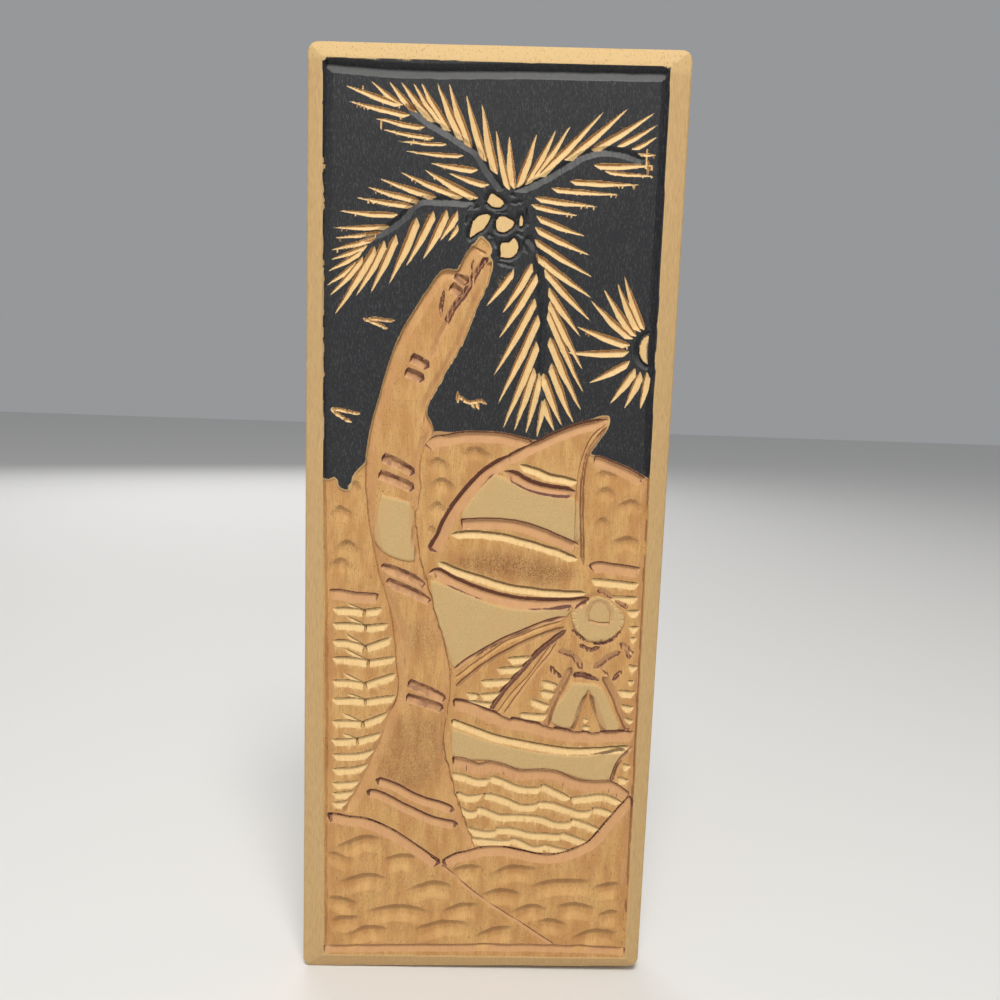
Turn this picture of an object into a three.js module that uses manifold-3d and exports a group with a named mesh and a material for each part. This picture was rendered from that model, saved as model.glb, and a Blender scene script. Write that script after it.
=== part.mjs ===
// A carved wood wall plaque: one upright board with chamfered edges, carved on its front face with
// a palm tree, a sail boat, a low sun, water and dunes. Every line is a V-shaped cut into the flat face.
// Millimetres. X is to the right and Z is up as the plaque hangs. The back face lies in y = 0,
// against the wall, and the carved face looks towards -Y. The origin is the middle of the back face.
import * as THREE from "three";
import { mergeVertices } from "three/addons/utils/BufferGeometryUtils.js";
import Module from "manifold-3d";

const wasm = await Module();
wasm.setup();

// Driving dimensions
const WIDTH = 114;
const HEIGHT = 296.5;
const THICKNESS = 12;
const END_SKEW = 1; // half of what each sawn end rises from the left side to the right
const CHAMFER_DROP = 1.8; // how far the edge strips fall from the face to the board's sides
const CORNER_ROUND = 2.2;
const STRIP_ROUND = 0.6;
const CORNER_STEPS = 3;
const ROOF = 1; // how far a cutter reaches out in front of the face
const END_SLOPE = 1.5; // how far from its end a cut reaches full depth, in depths
const LEAF_PROFILE = [[0, 0], [0.3, 0.62], [0.65, 1], [0.93, 0.85], [1, 0]]; // share of the length, fullness
const LEAF_DEPTH = 0.42; // a leaf cut's depth over its width
const LEAF_WALL = 0.4; // how much of a leaf cut's width is its upper wall
const FACE = -THICKNESS;

// The edge strips are not of even width: their inner edges stand at these places.
const STRIP = {
  topLeft: [-52.4, 142.4],
  topRight: [50.3, 143.8],
  bottomRight: [52.4, -143.2],
  bottomLeft: [-49.8, -144],
};

// Depths and half widths of the V cuts: above is the side that the path keeps on its left.
const CUT = {
  border: { above: 1.4, below: 2.5, depth: 1.4 },
  outline: { above: 0.9, below: 2.6, depth: 1.1 },
  line: { above: 0.6, below: 0.9, depth: 0.7 },
  thin: { above: 0.4, below: 0.9, depth: 0.6 },
  fine: { above: 0.4, below: 0.5, depth: 0.45 },
  wave: { above: 0.9, below: 1.5, depth: 0.95 },
  ring: { above: 1.1, below: 2.2, depth: 1.2 },
  trunkSide: { above: 0.5, below: 3.2, depth: 1.1 },
  rib: { above: 1, below: 1.2, depth: 0.9 },
  channel: { above: 1.3, below: 1.5, depth: 1 },
  gouge: { above: 2.2, below: 4.6, depth: 0.9 },
};

function solidFrom(positions, faces) {
  const geometry = new THREE.BufferGeometry();
  geometry.setAttribute("position", new THREE.Float32BufferAttribute(positions.flat(), 3));
  geometry.setIndex(faces.flat());
  const merged = mergeVertices(geometry, 1e-4);
  const vertProperties = merged.attributes.position.array;
  const triVerts = new Uint32Array(merged.index.array);
  return new wasm.Manifold(new wasm.Mesh({ numProp: 3, vertProperties, triVerts }));
}

function curveThrough(points) {
  return new THREE.SplineCurve(points.map(([x, z]) => new THREE.Vector2(x, z)));
}

function pathAlong(points, steps) {
  const count = steps ?? Math.max(2, Math.round(points.length * 1.5));
  return curveThrough(points).getSpacedPoints(count);
}

// The x at which a curve that runs down the board passes a height.
function xAt(points, z) {
  const samples = curveThrough(points).getPoints(80);
  const below = samples.findIndex((p) => p.y <= z);
  if (below <= 0) return samples[below === 0 ? 0 : samples.length - 1].x;
  const [p, q] = [samples[below - 1], samples[below]];
  return THREE.MathUtils.mapLinear(z, p.y, q.y, p.x, q.x);
}

// A cutter with a four-sided section at each station: two edges in the face, a keel below, a roof in front.
function cutter(stations) {
  const positions = [];
  const faces = [];
  const last = stations.length - 1;
  const start = [];
  stations.forEach(({ at, side, above, below, depth }, i) => {
    start.push(positions.length);
    if (i === 0 || i === last) {
      positions.push([at.x, FACE, at.y]);
      return;
    }
    positions.push([at.x + side.x * above, FACE, at.y + side.y * above]);
    positions.push([at.x, FACE + depth, at.y]);
    positions.push([at.x - side.x * below, FACE, at.y - side.y * below]);
    positions.push([at.x, FACE - ROOF, at.y]);
  });
  for (let i = 0; i < last; i++) {
    for (let k = 0; k < 4; k++) {
      const [a, b] = [k, (k + 1) % 4];
      const [p, q] = [start[i], start[i + 1]];
      if (i === 0) faces.push([p, q + a, q + b]);
      else if (i === last - 1) faces.push([q, p + b, p + a]);
      else faces.push([p + a, q + a, q + b], [p + a, q + b, p + b]);
    }
  }
  const solid = solidFrom(positions, faces);
  return solid.volume() > 0 ? solid : solidFrom(positions, faces.map(([a, b, c]) => [a, c, b]));
}

function sideAt(path, i) {
  const along = path[Math.min(i + 1, path.length - 1)].clone().sub(path[Math.max(i - 1, 0)]).normalize();
  return new THREE.Vector2(-along.y, along.x);
}

// A V cut of one size along a smooth path, pointed at both ends.
function groove(points, size, steps) {
  const path = pathAlong(points, steps);
  const last = path.length - 1;
  const stations = path.map((at, i) => ({ at, side: sideAt(path, i), ...size }));
  const share = Math.min(0.45, (END_SLOPE * size.depth) / path[0].distanceTo(path[1]));
  const nearStart = { ...stations[0], at: path[0].clone().lerp(path[1], share) };
  const nearEnd = { ...stations[last], at: path[last].clone().lerp(path[last - 1], share) };
  return cutter([stations[0], nearStart, ...stations.slice(1, last), nearEnd, stations[last]]);
}

// A leaf-shaped V cut: a long point at the tip, widest near the root, with the steeper wall above.
function leafCut(tip, root, width) {
  const side = sideAt([tip, root], 0);
  if (side.y < 0) side.negate();
  const stations = LEAF_PROFILE.map(([share, fullness]) => ({
    at: tip.clone().lerp(root, share),
    side,
    above: width * LEAF_WALL * fullness,
    below: width * (1 - LEAF_WALL) * fullness,
    depth: width * LEAF_DEPTH * fullness,
  }));
  return cutter(stations);
}

// A row of leaf cuts whose roots and tips lie evenly along two curves.
function leafRow({ roots, tips, count, width }) {
  const [rootCurve, tipCurve] = [curveThrough(roots), curveThrough(tips)];
  return Array.from({ length: count }, (_, i) => {
    const share = i / (count - 1);
    return leafCut(tipCurve.getPoint(share), rootCurve.getPoint(share), width);
  });
}

// A V cut round an oval, which leaves its middle standing.
function ringCut([x, z], [reachX, reachZ], tilt, { above, below, depth }) {
  const sides = 12;
  const positions = [];
  const faces = [];
  for (let i = 0; i < sides; i++) {
    const angle = (2 * Math.PI * i) / sides;
    const spoke = new THREE.Vector2(Math.cos(angle), Math.sin(angle));
    const section = [[above, FACE], [0, FACE + depth], [-below, FACE], [0, FACE - ROOF]];
    for (const [out, y] of section) {
      const p = new THREE.Vector2(spoke.x * (reachX + out), spoke.y * (reachZ + out));
      p.rotateAround(new THREE.Vector2(), tilt);
      positions.push([x + p.x, y, z + p.y]);
    }
    const next = (i + 1) % sides;
    for (let k = 0; k < 4; k++) {
      const [a, b] = [k, (k + 1) % 4];
      faces.push([i * 4 + a, next * 4 + a, next * 4 + b], [i * 4 + a, next * 4 + b, i * 4 + b]);
    }
  }
  const solid = solidFrom(positions, faces);
  return solid.volume() > 0 ? solid : solidFrom(positions, faces.map(([a, b, c]) => [a, c, b]));
}

// The board: a slightly skewed slab with nipped corners, whose front edges are chamfered towards its sides.
function roundedCorners(corners, radius) {
  const ring = [];
  corners.forEach((corner, i) => {
    const [before, after] = [corners[(i + 3) % 4], corners[(i + 1) % 4]];
    const here = new THREE.Vector2(...corner);
    const from = here.clone().add(new THREE.Vector2(...before).sub(here).setLength(radius));
    const to = here.clone().add(new THREE.Vector2(...after).sub(here).setLength(radius));
    ring.push(...new THREE.QuadraticBezierCurve(from, here, to).getPoints(CORNER_STEPS));
  });
  return ring;
}

function boardBlank() {
  const [x, z] = [WIDTH / 2, HEIGHT / 2];
  const outer = [[-x, z - END_SKEW], [x, z + END_SKEW], [x, -z + END_SKEW], [-x, -z - END_SKEW]];
  const inner = [STRIP.topLeft, STRIP.topRight, STRIP.bottomRight, STRIP.bottomLeft];
  const outline = roundedCorners(outer, CORNER_ROUND);
  const count = outline.length;
  const positions = [
    ...outline.map((p) => [p.x, 0, p.y]),
    ...outline.map((p) => [p.x, FACE + CHAMFER_DROP, p.y]),
    ...roundedCorners(inner, STRIP_ROUND).map((p) => [p.x, FACE, p.y]),
  ];
  const faces = [];
  for (let i = 0; i < count; i++) {
    const next = (i + 1) % count;
    for (const ring of [0, count]) {
      const front = ring + count;
      faces.push([ring + i, front + i, front + next], [ring + i, front + next, ring + next]);
    }
    if (i > 0 && i < count - 1) faces.push([0, i, i + 1], [2 * count, 2 * count + i + 1, 2 * count + i]);
  }
  const solid = solidFrom(positions, faces);
  return solid.volume() > 0 ? solid : solidFrom(positions, faces.map(([a, b, c]) => [a, c, b]));
}

// The groove inside the edge strips
function borderCuts() {
  const { above, below } = CUT.border;
  const { topLeft, topRight, bottomRight, bottomLeft } = STRIP;
  const cornerGap = 1;
  const inset = ([x, z], right, up) => [x + right, z + up];
  return [
    [inset(topLeft, above, -above), inset(topRight, -above, -above)],
    [inset(topRight, -above, -cornerGap), inset(bottomRight, -above, below)],
    [inset(bottomLeft, above, below), inset(topLeft, above, -cornerGap)],
    [inset(bottomLeft, 0, below), inset(bottomRight, 0, below)],
  ].map((path) => groove(path, CUT.border));
}

// Palm: four fronds, each a rib with a row of leaves on either side
const FRONDS = [
  {
    rib: { path: [[-29, 131.2], [-14, 123], [-4, 115], [2, 107]], size: CUT.rib },
    rows: [
      {
        roots: [[-29, 130.5], [-23, 125.2], [-17, 120.5], [-9, 115.7], [-2.3, 108.5]],
        tips: [[-46, 135.3], [-40.5, 127.8], [-33, 121.6], [-26, 116.5], [-15, 111.5]],
        count: 8,
        width: 1.8,
      },
      {
        roots: [[-29, 130.8], [-20, 126.3], [-13, 123], [-6, 117.5], [2.5, 109.5], [6, 108], [10.5, 110.5]],
        tips: [[-38.5, 136.8], [-29, 137], [-21.5, 137], [-13, 136], [-2.5, 127.5], [9.5, 124], [22, 127]],
        count: 14,
        width: 2.3,
      },
    ],
  },
  {
    rib: { path: [[5, 107.5], [12, 110], [24, 118], [34, 119.8], [44, 117]], size: CUT.rib },
    rows: [
      {
        roots: [[12, 111.5], [25.5, 119], [37, 121], [42, 119.3]],
        tips: [[31.4, 131], [44, 132], [47.9, 126.7], [48, 119]],
        count: 6,
        width: 2.3,
      },
      {
        roots: [[31, 115.6], [22, 110.7], [11.7, 105.4], [12.3, 100], [12, 93.3], [15.5, 84.5]],
        tips: [[48, 116], [44, 110.2], [31, 103.3], [27.7, 94.5], [30.5, 82.3], [30.5, 69]],
        count: 11,
        width: 2.1,
      },
    ],
  },
  {
    rib: { path: [[9.5, 95], [14, 83], [15.5, 66], [15.6, 47]], size: CUT.channel },
    rows: [
      {
        roots: [[17, 79], [17.3, 71], [18.5, 57], [17, 45]],
        tips: [[27.5, 64.3], [29.3, 46.8], [26.5, 37.5], [20.5, 35]],
        count: 7,
        width: 2.5,
      },
      {
        roots: [[6, 84], [13, 83], [14, 70.5], [13.2, 54.5], [16.3, 44.5]],
        tips: [[-2.2, 72.3], [2, 62.8], [2.4, 42.6], [7.8, 34.2], [15, 32.5]],
        count: 9,
        width: 2.4,
      },
    ],
  },
  {
    rib: { path: [[-40, 91.3], [-30, 97], [-23, 102.6], [-6, 103.4]], size: CUT.rib },
    rows: [
      {
        roots: [[-5.5, 104.6], [-21, 103.8], [-30, 98.3], [-35.8, 92.4], [-40.5, 87.3], [-36.5, 89.2]],
        tips: [[-22, 112.3], [-37.6, 107.6], [-48.2, 98.5], [-48, 88.3], [-47.5, 79.5], [-47.5, 68.2]],
        count: 14,
        width: 2,
      },
      {
        roots: [[-33.5, 91], [-24, 98.3], [-15, 100.8], [-11.5, 96.5]],
        tips: [[-42, 74], [-32, 78], [-21.8, 85.5], [-14.3, 91.3]],
        count: 7,
        width: 2.4,
      },
    ],
  },
];
const NUTS = [
  { centre: [-0.5, 104], reach: [3.5, 2.7], tilt: -0.3 },
  { centre: [-5, 96.5], reach: [4.5, 2.4], tilt: 0.95 },
  { centre: [2.7, 97.2], reach: [3.5, 2.9], tilt: 0 },
  { centre: [7.7, 98.3], reach: [1.5, 2.6], tilt: 0 },
  { centre: [4.6, 90.4], reach: [3.4, 3.9], tilt: -0.2 },
];
const TRUNK_CHANNEL = [[-1.5, 88], [-5.6, 82.5], [-9.3, 76.5], [-11.6, 72], [-19, 54]];
const TRUNK_LEFT = [
  [-4.8, 93.6], [-9, 87], [-14.5, 82], [-24, 70], [-31.5, 53], [-35, 40], [-37.6, 22], [-37, 4],
  [-33.5, -12], [-28.6, -30], [-27.7, -48], [-31.5, -67], [-38, -84], [-43.5, -94],
];
const TRUNK_RIGHT = [
  [-0.9, 85.5], [-4.5, 74], [-9, 62], [-15, 51], [-19, 43], [-20.5, 25], [-21.8, 10], [-20, -9],
  [-16, -24], [-9.8, -48], [-11.6, -66], [-8, -84], [0, -104],
];
// Each pair of rings across the trunk: the height of the upper one at its left and right ends
const TRUNK_RINGS = [
  { left: 91.6, right: 88.6, gap: 4.6 },
  { left: 82, right: 79, gap: 3.6 },
  { left: 57, right: 52, gap: 4.8 },
  { left: 25.2, right: 20, gap: 5.4 },
  { left: -10, right: -16, gap: 5 },
  { left: -48, right: -54.2, gap: 4.6 },
  { left: -82, right: -92, gap: 4.8 },
];

function palmCuts() {
  const cuts = [];
  for (const { rib, rows } of FRONDS) {
    cuts.push(groove(rib.path, rib.size));
    rows.forEach((row) => cuts.push(...leafRow(row)));
  }
  NUTS.forEach(({ centre, reach, tilt }) => cuts.push(ringCut(centre, reach, tilt, CUT.line)));
  cuts.push(groove(TRUNK_CHANNEL, CUT.channel));
  cuts.push(groove([...TRUNK_LEFT].reverse(), CUT.trunkSide, 20));
  cuts.push(groove(TRUNK_RIGHT, CUT.trunkSide, 18));
  for (const { left, right, gap } of TRUNK_RINGS) {
    for (const drop of [0, gap]) {
      const [zLeft, zRight] = [left - drop, right - drop];
      const [xLeft, xRight] = [xAt(TRUNK_LEFT, zLeft) + 1.5, xAt(TRUNK_RIGHT, zRight) - 1];
      const middle = [(xLeft + xRight) / 2, (zLeft + zRight) / 2 + 0.5];
      cuts.push(groove([[xLeft, zLeft], middle, [xRight, zRight]], CUT.ring, 3));
    }
  }
  return cuts;
}

// Half a sun against the right-hand strip, with rays, and three birds
const SUN = { centre: [49.2, 61.3], ring: [3.4, 5.7], ray: [6.6, 24], lastRay: 19, width: 2.5 };
const RAY_ANGLES = [112, 120, 131, 144, 165, 184, 209, 236, 250, 264];
const BIRDS = [
  [[-39.7, 67.7], [-36.5, 66.6], [-32, 64.7]],
  [[-38, 67.9], [-34, 67.4], [-30, 67.2]],
  [[-49, 39.9], [-46.5, 38], [-42.7, 35.6]],
  [[-48.5, 40], [-44, 40.2], [-40, 38.4]],
  [[-10, 45.3], [-8, 44], [-5.5, 42.6]],
  [[-6, 42.7], [-3, 43.8], [-0.7, 42.6]],
];

function skyCuts() {
  const centre = new THREE.Vector2(...SUN.centre);
  const cuts = RAY_ANGLES.map((degrees, i) => {
    const angle = THREE.MathUtils.degToRad(degrees);
    const direction = new THREE.Vector2(Math.cos(angle), Math.sin(angle));
    const reach = THREE.MathUtils.lerp(SUN.ray[1], SUN.lastRay, i / (RAY_ANGLES.length - 1));
    const tip = centre.clone().addScaledVector(direction, reach);
    return leafCut(tip, centre.clone().addScaledVector(direction, SUN.ray[0]), SUN.width);
  });
  const [ringX, ringZ] = SUN.ring;
  const ring = new THREE.EllipseCurve(...SUN.centre, ringX, ringZ, Math.PI * 0.5, Math.PI * 1.5).getPoints(6);
  cuts.push(groove(ring.map((p) => [p.x, p.y]), CUT.rib));
  BIRDS.forEach((wing) => cuts.push(groove(wing, CUT.fine, 2)));
  return cuts;
}

// Sail boat: two hills behind it, the big sail with its seams, mast, boom and spar, and the hull
const SAIL_EDGE = [
  [-17.5, -4.5], [-15, 0], [-8, 13], [0, 22], [8, 27.5], [16, 32], [28, 37], [37.5, 39.4],
];
const MAST = [[37, 37], [32, 31], [29.8, 24], [29.3, 14], [30, 0], [31.5, -8]];
const MAST_FRONT = [[31.8, -8], [31.3, 2], [30.7, 14], [31.2, 24], [34, 31], [37.5, 35]];
const HILLS = [
  [[-19.5, 30.5], [-12, 32.2], [0, 33.4], [14, 31.6]],
  [[33.5, 27.6], [40, 25.5], [49.5, 21]],
];
const SEAMS = [
  { path: [[10, 24], [20, 20.9], [29, 19.2]], size: CUT.line },
  { path: [[4.5, 22], [12, 19], [20, 17], [28.5, 16.2]], size: CUT.outline },
  { path: [[-8.6, 5.8], [4, 6.4], [17, 4], [30, -1]], size: CUT.outline },
  { path: [[-11, 1], [0, 1.6], [14, -0.8], [30, -5.8]], size: CUT.wave },
  { path: [[-15, -8], [0, -13], [16, -16.2], [33, -16.8]], size: CUT.wave },
  { path: [[-18, -11.5], [-4, -16], [10, -20], [24, -20], [36, -17.5]], size: CUT.outline },
];
const SPARS = [
  { path: [[-8.5, -43.3], [6, -33.3], [18, -27.6], [27, -24.8]], size: CUT.line },
  { path: [[-8.3, -46.5], [8, -33.8], [26, -26.3]], size: CUT.fine },
  { path: [[-8, -49.5], [6, -38], [27, -28.2]], size: CUT.line },
  { path: [[3.5, -57], [12, -45], [20, -35.5], [27.5, -29]], size: CUT.line },
  { path: [[8, -58.5], [16, -46], [24.5, -33]], size: CUT.fine },
];
const HULL = [
  { path: [[-9.5, -54.7], [8, -59.5], [28, -63.8], [51, -63.4]], size: CUT.outline },
  { path: [[-9.5, -60.7], [10, -67.2], [32, -70], [50, -68.5]], size: CUT.wave },
  { path: [[-8.3, -74], [4, -75.2], [14, -77.6], [26, -78], [36, -81], [51, -86]], size: CUT.outline },
  { path: [[44.5, -80.8], [46.5, -75.5], [51, -68]], size: CUT.line },
];

function boatCuts() {
  const cuts = HILLS.map((hill) => groove(hill, CUT.outline));
  cuts.push(groove(SAIL_EDGE, CUT.outline));
  cuts.push(groove(MAST, CUT.line));
  cuts.push(groove(MAST_FRONT, CUT.fine));
  for (const { path, size } of [...SEAMS, ...SPARS, ...HULL]) cuts.push(groove(path, size));
  return cuts;
}

// Water: rows of short V cuts on both sides of the boat, and long waves under the hull
const SEA_LEFT_EDGE = -48;
const SEA_RIGHT_EDGE = 50.5;
const SEA_LEFT_ROWS = [
  -18.9, -24, -29.3, -35, -41, -48.3, -54.5, -62, -68.5, -73.5, -78.5, -83.5, -87.4, -90.9,
];
// Where each row to the right of the boat starts: what stands in front of it hides the rest
const SEA_RIGHT_ROWS = [
  [34, -7.8], [34.5, -13], [41, -17.8], [46.5, -22.4], [48, -28], [48, -31.4],
  [48, -36], [48, -41], [48, -46], [45, -49.6], [46, -54.6], [47, -59],
];
const SEA_BETWEEN = [
  [[8.5, -39.2], [17, -38.5]], [[5, -42.7], [14.5, -42]], [[0, -47.2], [10.5, -46.3]],
  [[-4.5, -51.6], [7.5, -51]], [[-4.5, -54.3], [4.5, -54.8]], [[20, -46.7], [25.5, -48]],
  [[19.5, -50], [25, -51]], [[16.5, -53], [23.5, -55.3]], [[13, -58], [23.5, -58.3]],
  [[33.6, -61.5], [36.8, -62]], [[48, -74.5], [50.8, -75.5]], [[46.8, -79], [50.5, -80.3]],
];
const SHORE_RIGHT = [
  [-11, -110.8], [-4, -107.6], [8, -105.2], [22, -107.6], [34, -105], [42, -98], [48, -90], [51.3, -86],
];
const WAVES = {
  count: 5,
  first: { z: -80.5, left: -7, right: 48, slant: -0.06 },
  last: { z: -102.5, left: -2, right: 34, slant: 0 },
  rise: 1.1,
  length: 14,
  stationEvery: 4,
};

function waterCuts() {
  const cuts = [];
  for (const z of SEA_LEFT_ROWS) {
    const right = xAt(TRUNK_LEFT, z) - 1;
    const dip = [(SEA_LEFT_EDGE + right) / 2, z - 0.6];
    cuts.push(groove([[SEA_LEFT_EDGE, z], dip, [right, z + 1]], CUT.wave, 4));
  }
  for (const [x, z] of SEA_RIGHT_ROWS) cuts.push(groove([[x, z + 0.2], [SEA_RIGHT_EDGE, z - 0.2]], CUT.wave));
  SEA_BETWEEN.forEach((stroke) => cuts.push(groove(stroke, CUT.wave)));
  for (let row = 0; row < WAVES.count; row++) {
    const between = (key) => THREE.MathUtils.lerp(WAVES.first[key], WAVES.last[key], row / (WAVES.count - 1));
    const [z, left, right, slant] = ["z", "left", "right", "slant"].map(between);
    const count = Math.round((right - left) / WAVES.stationEvery);
    const crest = Array.from({ length: count + 1 }, (_, i) => {
      const x = left + ((right - left) * i) / count;
      return [x, z + slant * (x - left) - WAVES.rise * Math.sin((2 * Math.PI * x) / WAVES.length)];
    });
    cuts.push(groove(crest, CUT.wave, count));
  }
  return cuts;
}

// Figure seen from behind: a broad round hat, bent arms with the hands at the hips, and wide trousers
const HAT = { centre: [37.3, -25.3], reach: [8.6, 7.6], crown: [38, -22.3], crownReach: [4, 3.8] };
const FIGURE = [
  [[24.5, -33.5], [22.8, -38], [22.3, -41.5], [27.5, -45.5]],
  [[25, -36.5], [29, -38], [32.5, -41.5]],
  [[36.8, -41.5], [40, -38.8], [45, -36.5]],
  [[39.3, -41.5], [42.7, -45.6], [45.8, -42.5]],
  [[44.5, -33.5], [47.6, -36], [47.5, -41]],
  [[31.5, -33.6], [35.5, -35.6], [39, -34.4]],
  [[22, -61.5], [25.5, -51], [29.8, -41.5]],
  [[49.3, -63], [45, -54], [40.5, -45.5]],
  [[31.2, -63.5], [33, -57], [35.2, -50.3]],
  [[40.3, -63.5], [37.6, -55], [35.2, -50.3]],
];

function figureCuts() {
  const cuts = FIGURE.map((line) => groove(line, CUT.line, 3));
  cuts.push(ringCut(HAT.centre, HAT.reach, 0, CUT.line));
  cuts.push(ringCut(HAT.crown, HAT.crownReach, 0, CUT.fine));
  cuts.push(groove([[30.3, -44.5], [35, -45], [39.5, -46]], CUT.rib, 3));
  return cuts;
}

// Dunes: two outlines that meet, and shallow gouge strokes, each under the arch of its upper edge
const SHORE_LEFT = [[-49, -95.2], [-40, -95.9], [-28, -100], [-11.5, -111]];
const DUNE_LINE = [[-11, -111.4], [4, -124], [28.5, -140.2]];
// The middle of each stroke and half its length
const GOUGES = [
  [-37, -105, 9], [-45, -111.5, 5], [-25, -111.5, 6], [-37, -119, 9], [-14, -121.5, 8],
  [-43.5, -127.5, 6], [-25, -130, 11], [-5, -129.5, 6], [-36, -137, 8], [-9, -135.5, 11],
  [-3, -115, 5.5], [12, -115.5, 9], [9.5, -123, 7], [29, -120, 10.5], [19, -129.5, 6.5],
  [35, -128, 6.5], [27.5, -134, 6], [41.5, -137.5, 8], [45.5, -121, 4], [45.5, -130.5, 4],
];
const GOUGE_ARCH = 0.2; // how high a stroke arches, over half its length

function duneCuts() {
  const cuts = [groove(SHORE_LEFT, CUT.outline), groove(SHORE_RIGHT, CUT.outline)];
  cuts.push(groove(DUNE_LINE, CUT.thin));
  for (const [x, z, reach] of GOUGES) {
    const rise = reach * GOUGE_ARCH;
    const [start, end] = [[x - reach, z - rise], [x + reach, z - rise / 3]];
    cuts.push(groove([start, [x - reach / 2, z + rise / 2], [x, z + rise], end], CUT.gouge, 5));
  }
  return cuts;
}

function carvedBoard() {
  const motifs = [borderCuts, palmCuts, skyCuts, boatCuts, waterCuts, figureCuts, duneCuts];
  const allCuts = motifs.flatMap((motif) => motif()).reduce((joined, cut) => joined.add(cut));
  return boardBlank().subtract(allCuts);
}

function geometryOf(solid) {
  const { vertProperties, triVerts } = solid.getMesh();
  const geometry = new THREE.BufferGeometry();
  geometry.setAttribute("position", new THREE.BufferAttribute(new Float32Array(vertProperties), 3));
  geometry.setIndex(new THREE.BufferAttribute(new Uint32Array(triVerts), 1));
  const faceted = geometry.toNonIndexed();
  faceted.computeVertexNormals();
  return faceted;
}

const stainedPine = new THREE.MeshStandardMaterial({ color: 0xcd9955, roughness: 0.7, metalness: 0 });
const board = new THREE.Mesh(geometryOf(carvedBoard()), stainedPine);
board.name = "carved_board";

const plaque = new THREE.Group();
plaque.add(board);

export default plaque;
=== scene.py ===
"""A carved wood wall plaque: a palm, a sail boat and a low sun, cut with V tools and gouges into a board.

The whole board is one closed mesh. Its front is a height field in millimetres: level is 0 at the planed
face and negative below it. The cuts are made in the order in which a carver makes them, with the black paint
between the first cuts and the later ones, so that each later cut bares pale wood. In the lists a point is
(x, z) in millimetres on the face, x to the right and z up from the board's middle.
"""
import math

import bpy
import numpy as np
from mathutils import Euler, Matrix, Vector


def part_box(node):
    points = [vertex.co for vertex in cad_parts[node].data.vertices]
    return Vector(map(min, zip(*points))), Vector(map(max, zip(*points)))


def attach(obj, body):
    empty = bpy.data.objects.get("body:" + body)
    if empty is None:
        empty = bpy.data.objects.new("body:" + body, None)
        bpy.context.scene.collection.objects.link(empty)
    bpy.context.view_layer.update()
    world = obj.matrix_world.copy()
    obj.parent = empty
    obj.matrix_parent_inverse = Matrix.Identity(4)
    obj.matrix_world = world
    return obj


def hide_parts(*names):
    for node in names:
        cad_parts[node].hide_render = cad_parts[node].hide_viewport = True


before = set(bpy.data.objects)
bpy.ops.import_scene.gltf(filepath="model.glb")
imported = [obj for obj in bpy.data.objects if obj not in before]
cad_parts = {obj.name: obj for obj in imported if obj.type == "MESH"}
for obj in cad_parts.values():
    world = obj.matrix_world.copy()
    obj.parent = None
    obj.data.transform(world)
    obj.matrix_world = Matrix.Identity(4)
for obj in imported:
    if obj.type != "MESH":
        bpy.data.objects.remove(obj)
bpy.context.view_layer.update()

MM = 0.001
NODE = "carved_board"
LOW, HIGH = (np.array(corner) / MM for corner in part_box(NODE))

# Driving sizes in millimetres, as in the CAD board
WIDTH = HIGH[0] - LOW[0]
THICKNESS = HIGH[1] - LOW[1]
END_SKEW = 1.0  # half of what each sawn end rises from the left side to the right
HEIGHT = 296.5
CHAMFER_DROP = 1.8
STRIP_TOP_LEFT = (-52.4, 142.4)  # inner corners of the four edge strips
STRIP_TOP_RIGHT = (50.3, 143.8)
STRIP_BOTTOM_RIGHT = (52.4, -143.2)
STRIP_BOTTOM_LEFT = (-49.8, -144.0)
CORNER_ROUND = 3.2
GRID_STEP = 0.22
MOST_TRIANGLES = 188_000
SEED = 7
SIDE_ARRIS = 0.35
# The rings of points down the sides, as (share of the way to the back, inset in millimetres)
SIDE_LOOPS = ((0.04, 0.0), (0.35, 0.0), (0.65, 0.0), (0.96, 0.0), (0.99, 0.15), (1.0, 0.45))

# Camera and light. Turns are in degrees; lights are (name, place in metres, size, power, colour).
EYE = (-2.384, -292.23, 52.557)
EYE_TURN = (81.945, -2.004, -1.074)
LENS = 32.4
LIGHTS = (
    ("key", (0.05, -0.62, 1.05), 0.4, 12.5, (1.0, 0.98, 0.94)),
    ("fill", (-0.9, -1.0, 0.1), 1.0, 2.5, (0.95, 0.97, 1.0)),
    ("rear", (-0.4, 1.2, 0.6), 1.0, 6.0, (1.0, 1.0, 1.0)),
)
WORLD_STRENGTH = 0.34

# V cuts as (width of the steep wall, width of the gentle slope, depth)
OUTLINE = (0.9, 2.7, 1.2)
WEDGE = (1.5, 2.6, 1.35)
RING = (1.6, 1.8, 1.2)
SEAM = (0.55, 3.2, 0.9)
LINE = (0.7, 0.9, 0.75)
THIN = (0.45, 0.8, 0.5)
TORN_LINE = (1.4, 0.8, 0.75)
WAVE = (0.5, 2.2, 0.85)
WIDE_WAVE = (0.95, 1.8, 0.85)
RIB = (1.1, 2.0, 1.0)
BORDER = (1.5, 2.9, 1.6)
FACET = (0.4, 2.8, 0.8)
SHADED_FACET = (1.7, 0.8, 0.9)
LEFT_GROOVE = (0.9, 2.2, 0.9)
RIGHT_GROOVE = (0.7, 1.7, 0.9)
FOOT_GROOVE = (0.6, 2.2, 0.9)
WIDE_RIB = (1.5, 1.6, 1.0)
NICK = (0.8, 0.9, 0.6)
NUT_GROOVE = (1.2, 0.15, 0.9)
SUN_GROOVE = (1.6, 0.3, 0.9)
SLIP = (0.3, 0.3, 0.3)
DRIP = (0.24, 0.24, 0.3)
FEATHER = (0.5, 0.7, 0.5)
RIGHT_FACET = (0.6, 2.2, 0.8)
CHANNEL = (1.0, 1.2, 0.9)
CHANNEL_FOOT = (0.9, 1.4, 0.6)
SHADOW = (0.9, 0.5, 0.7)
NOTCH = (0.5, 0.9, 0.5)
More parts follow.
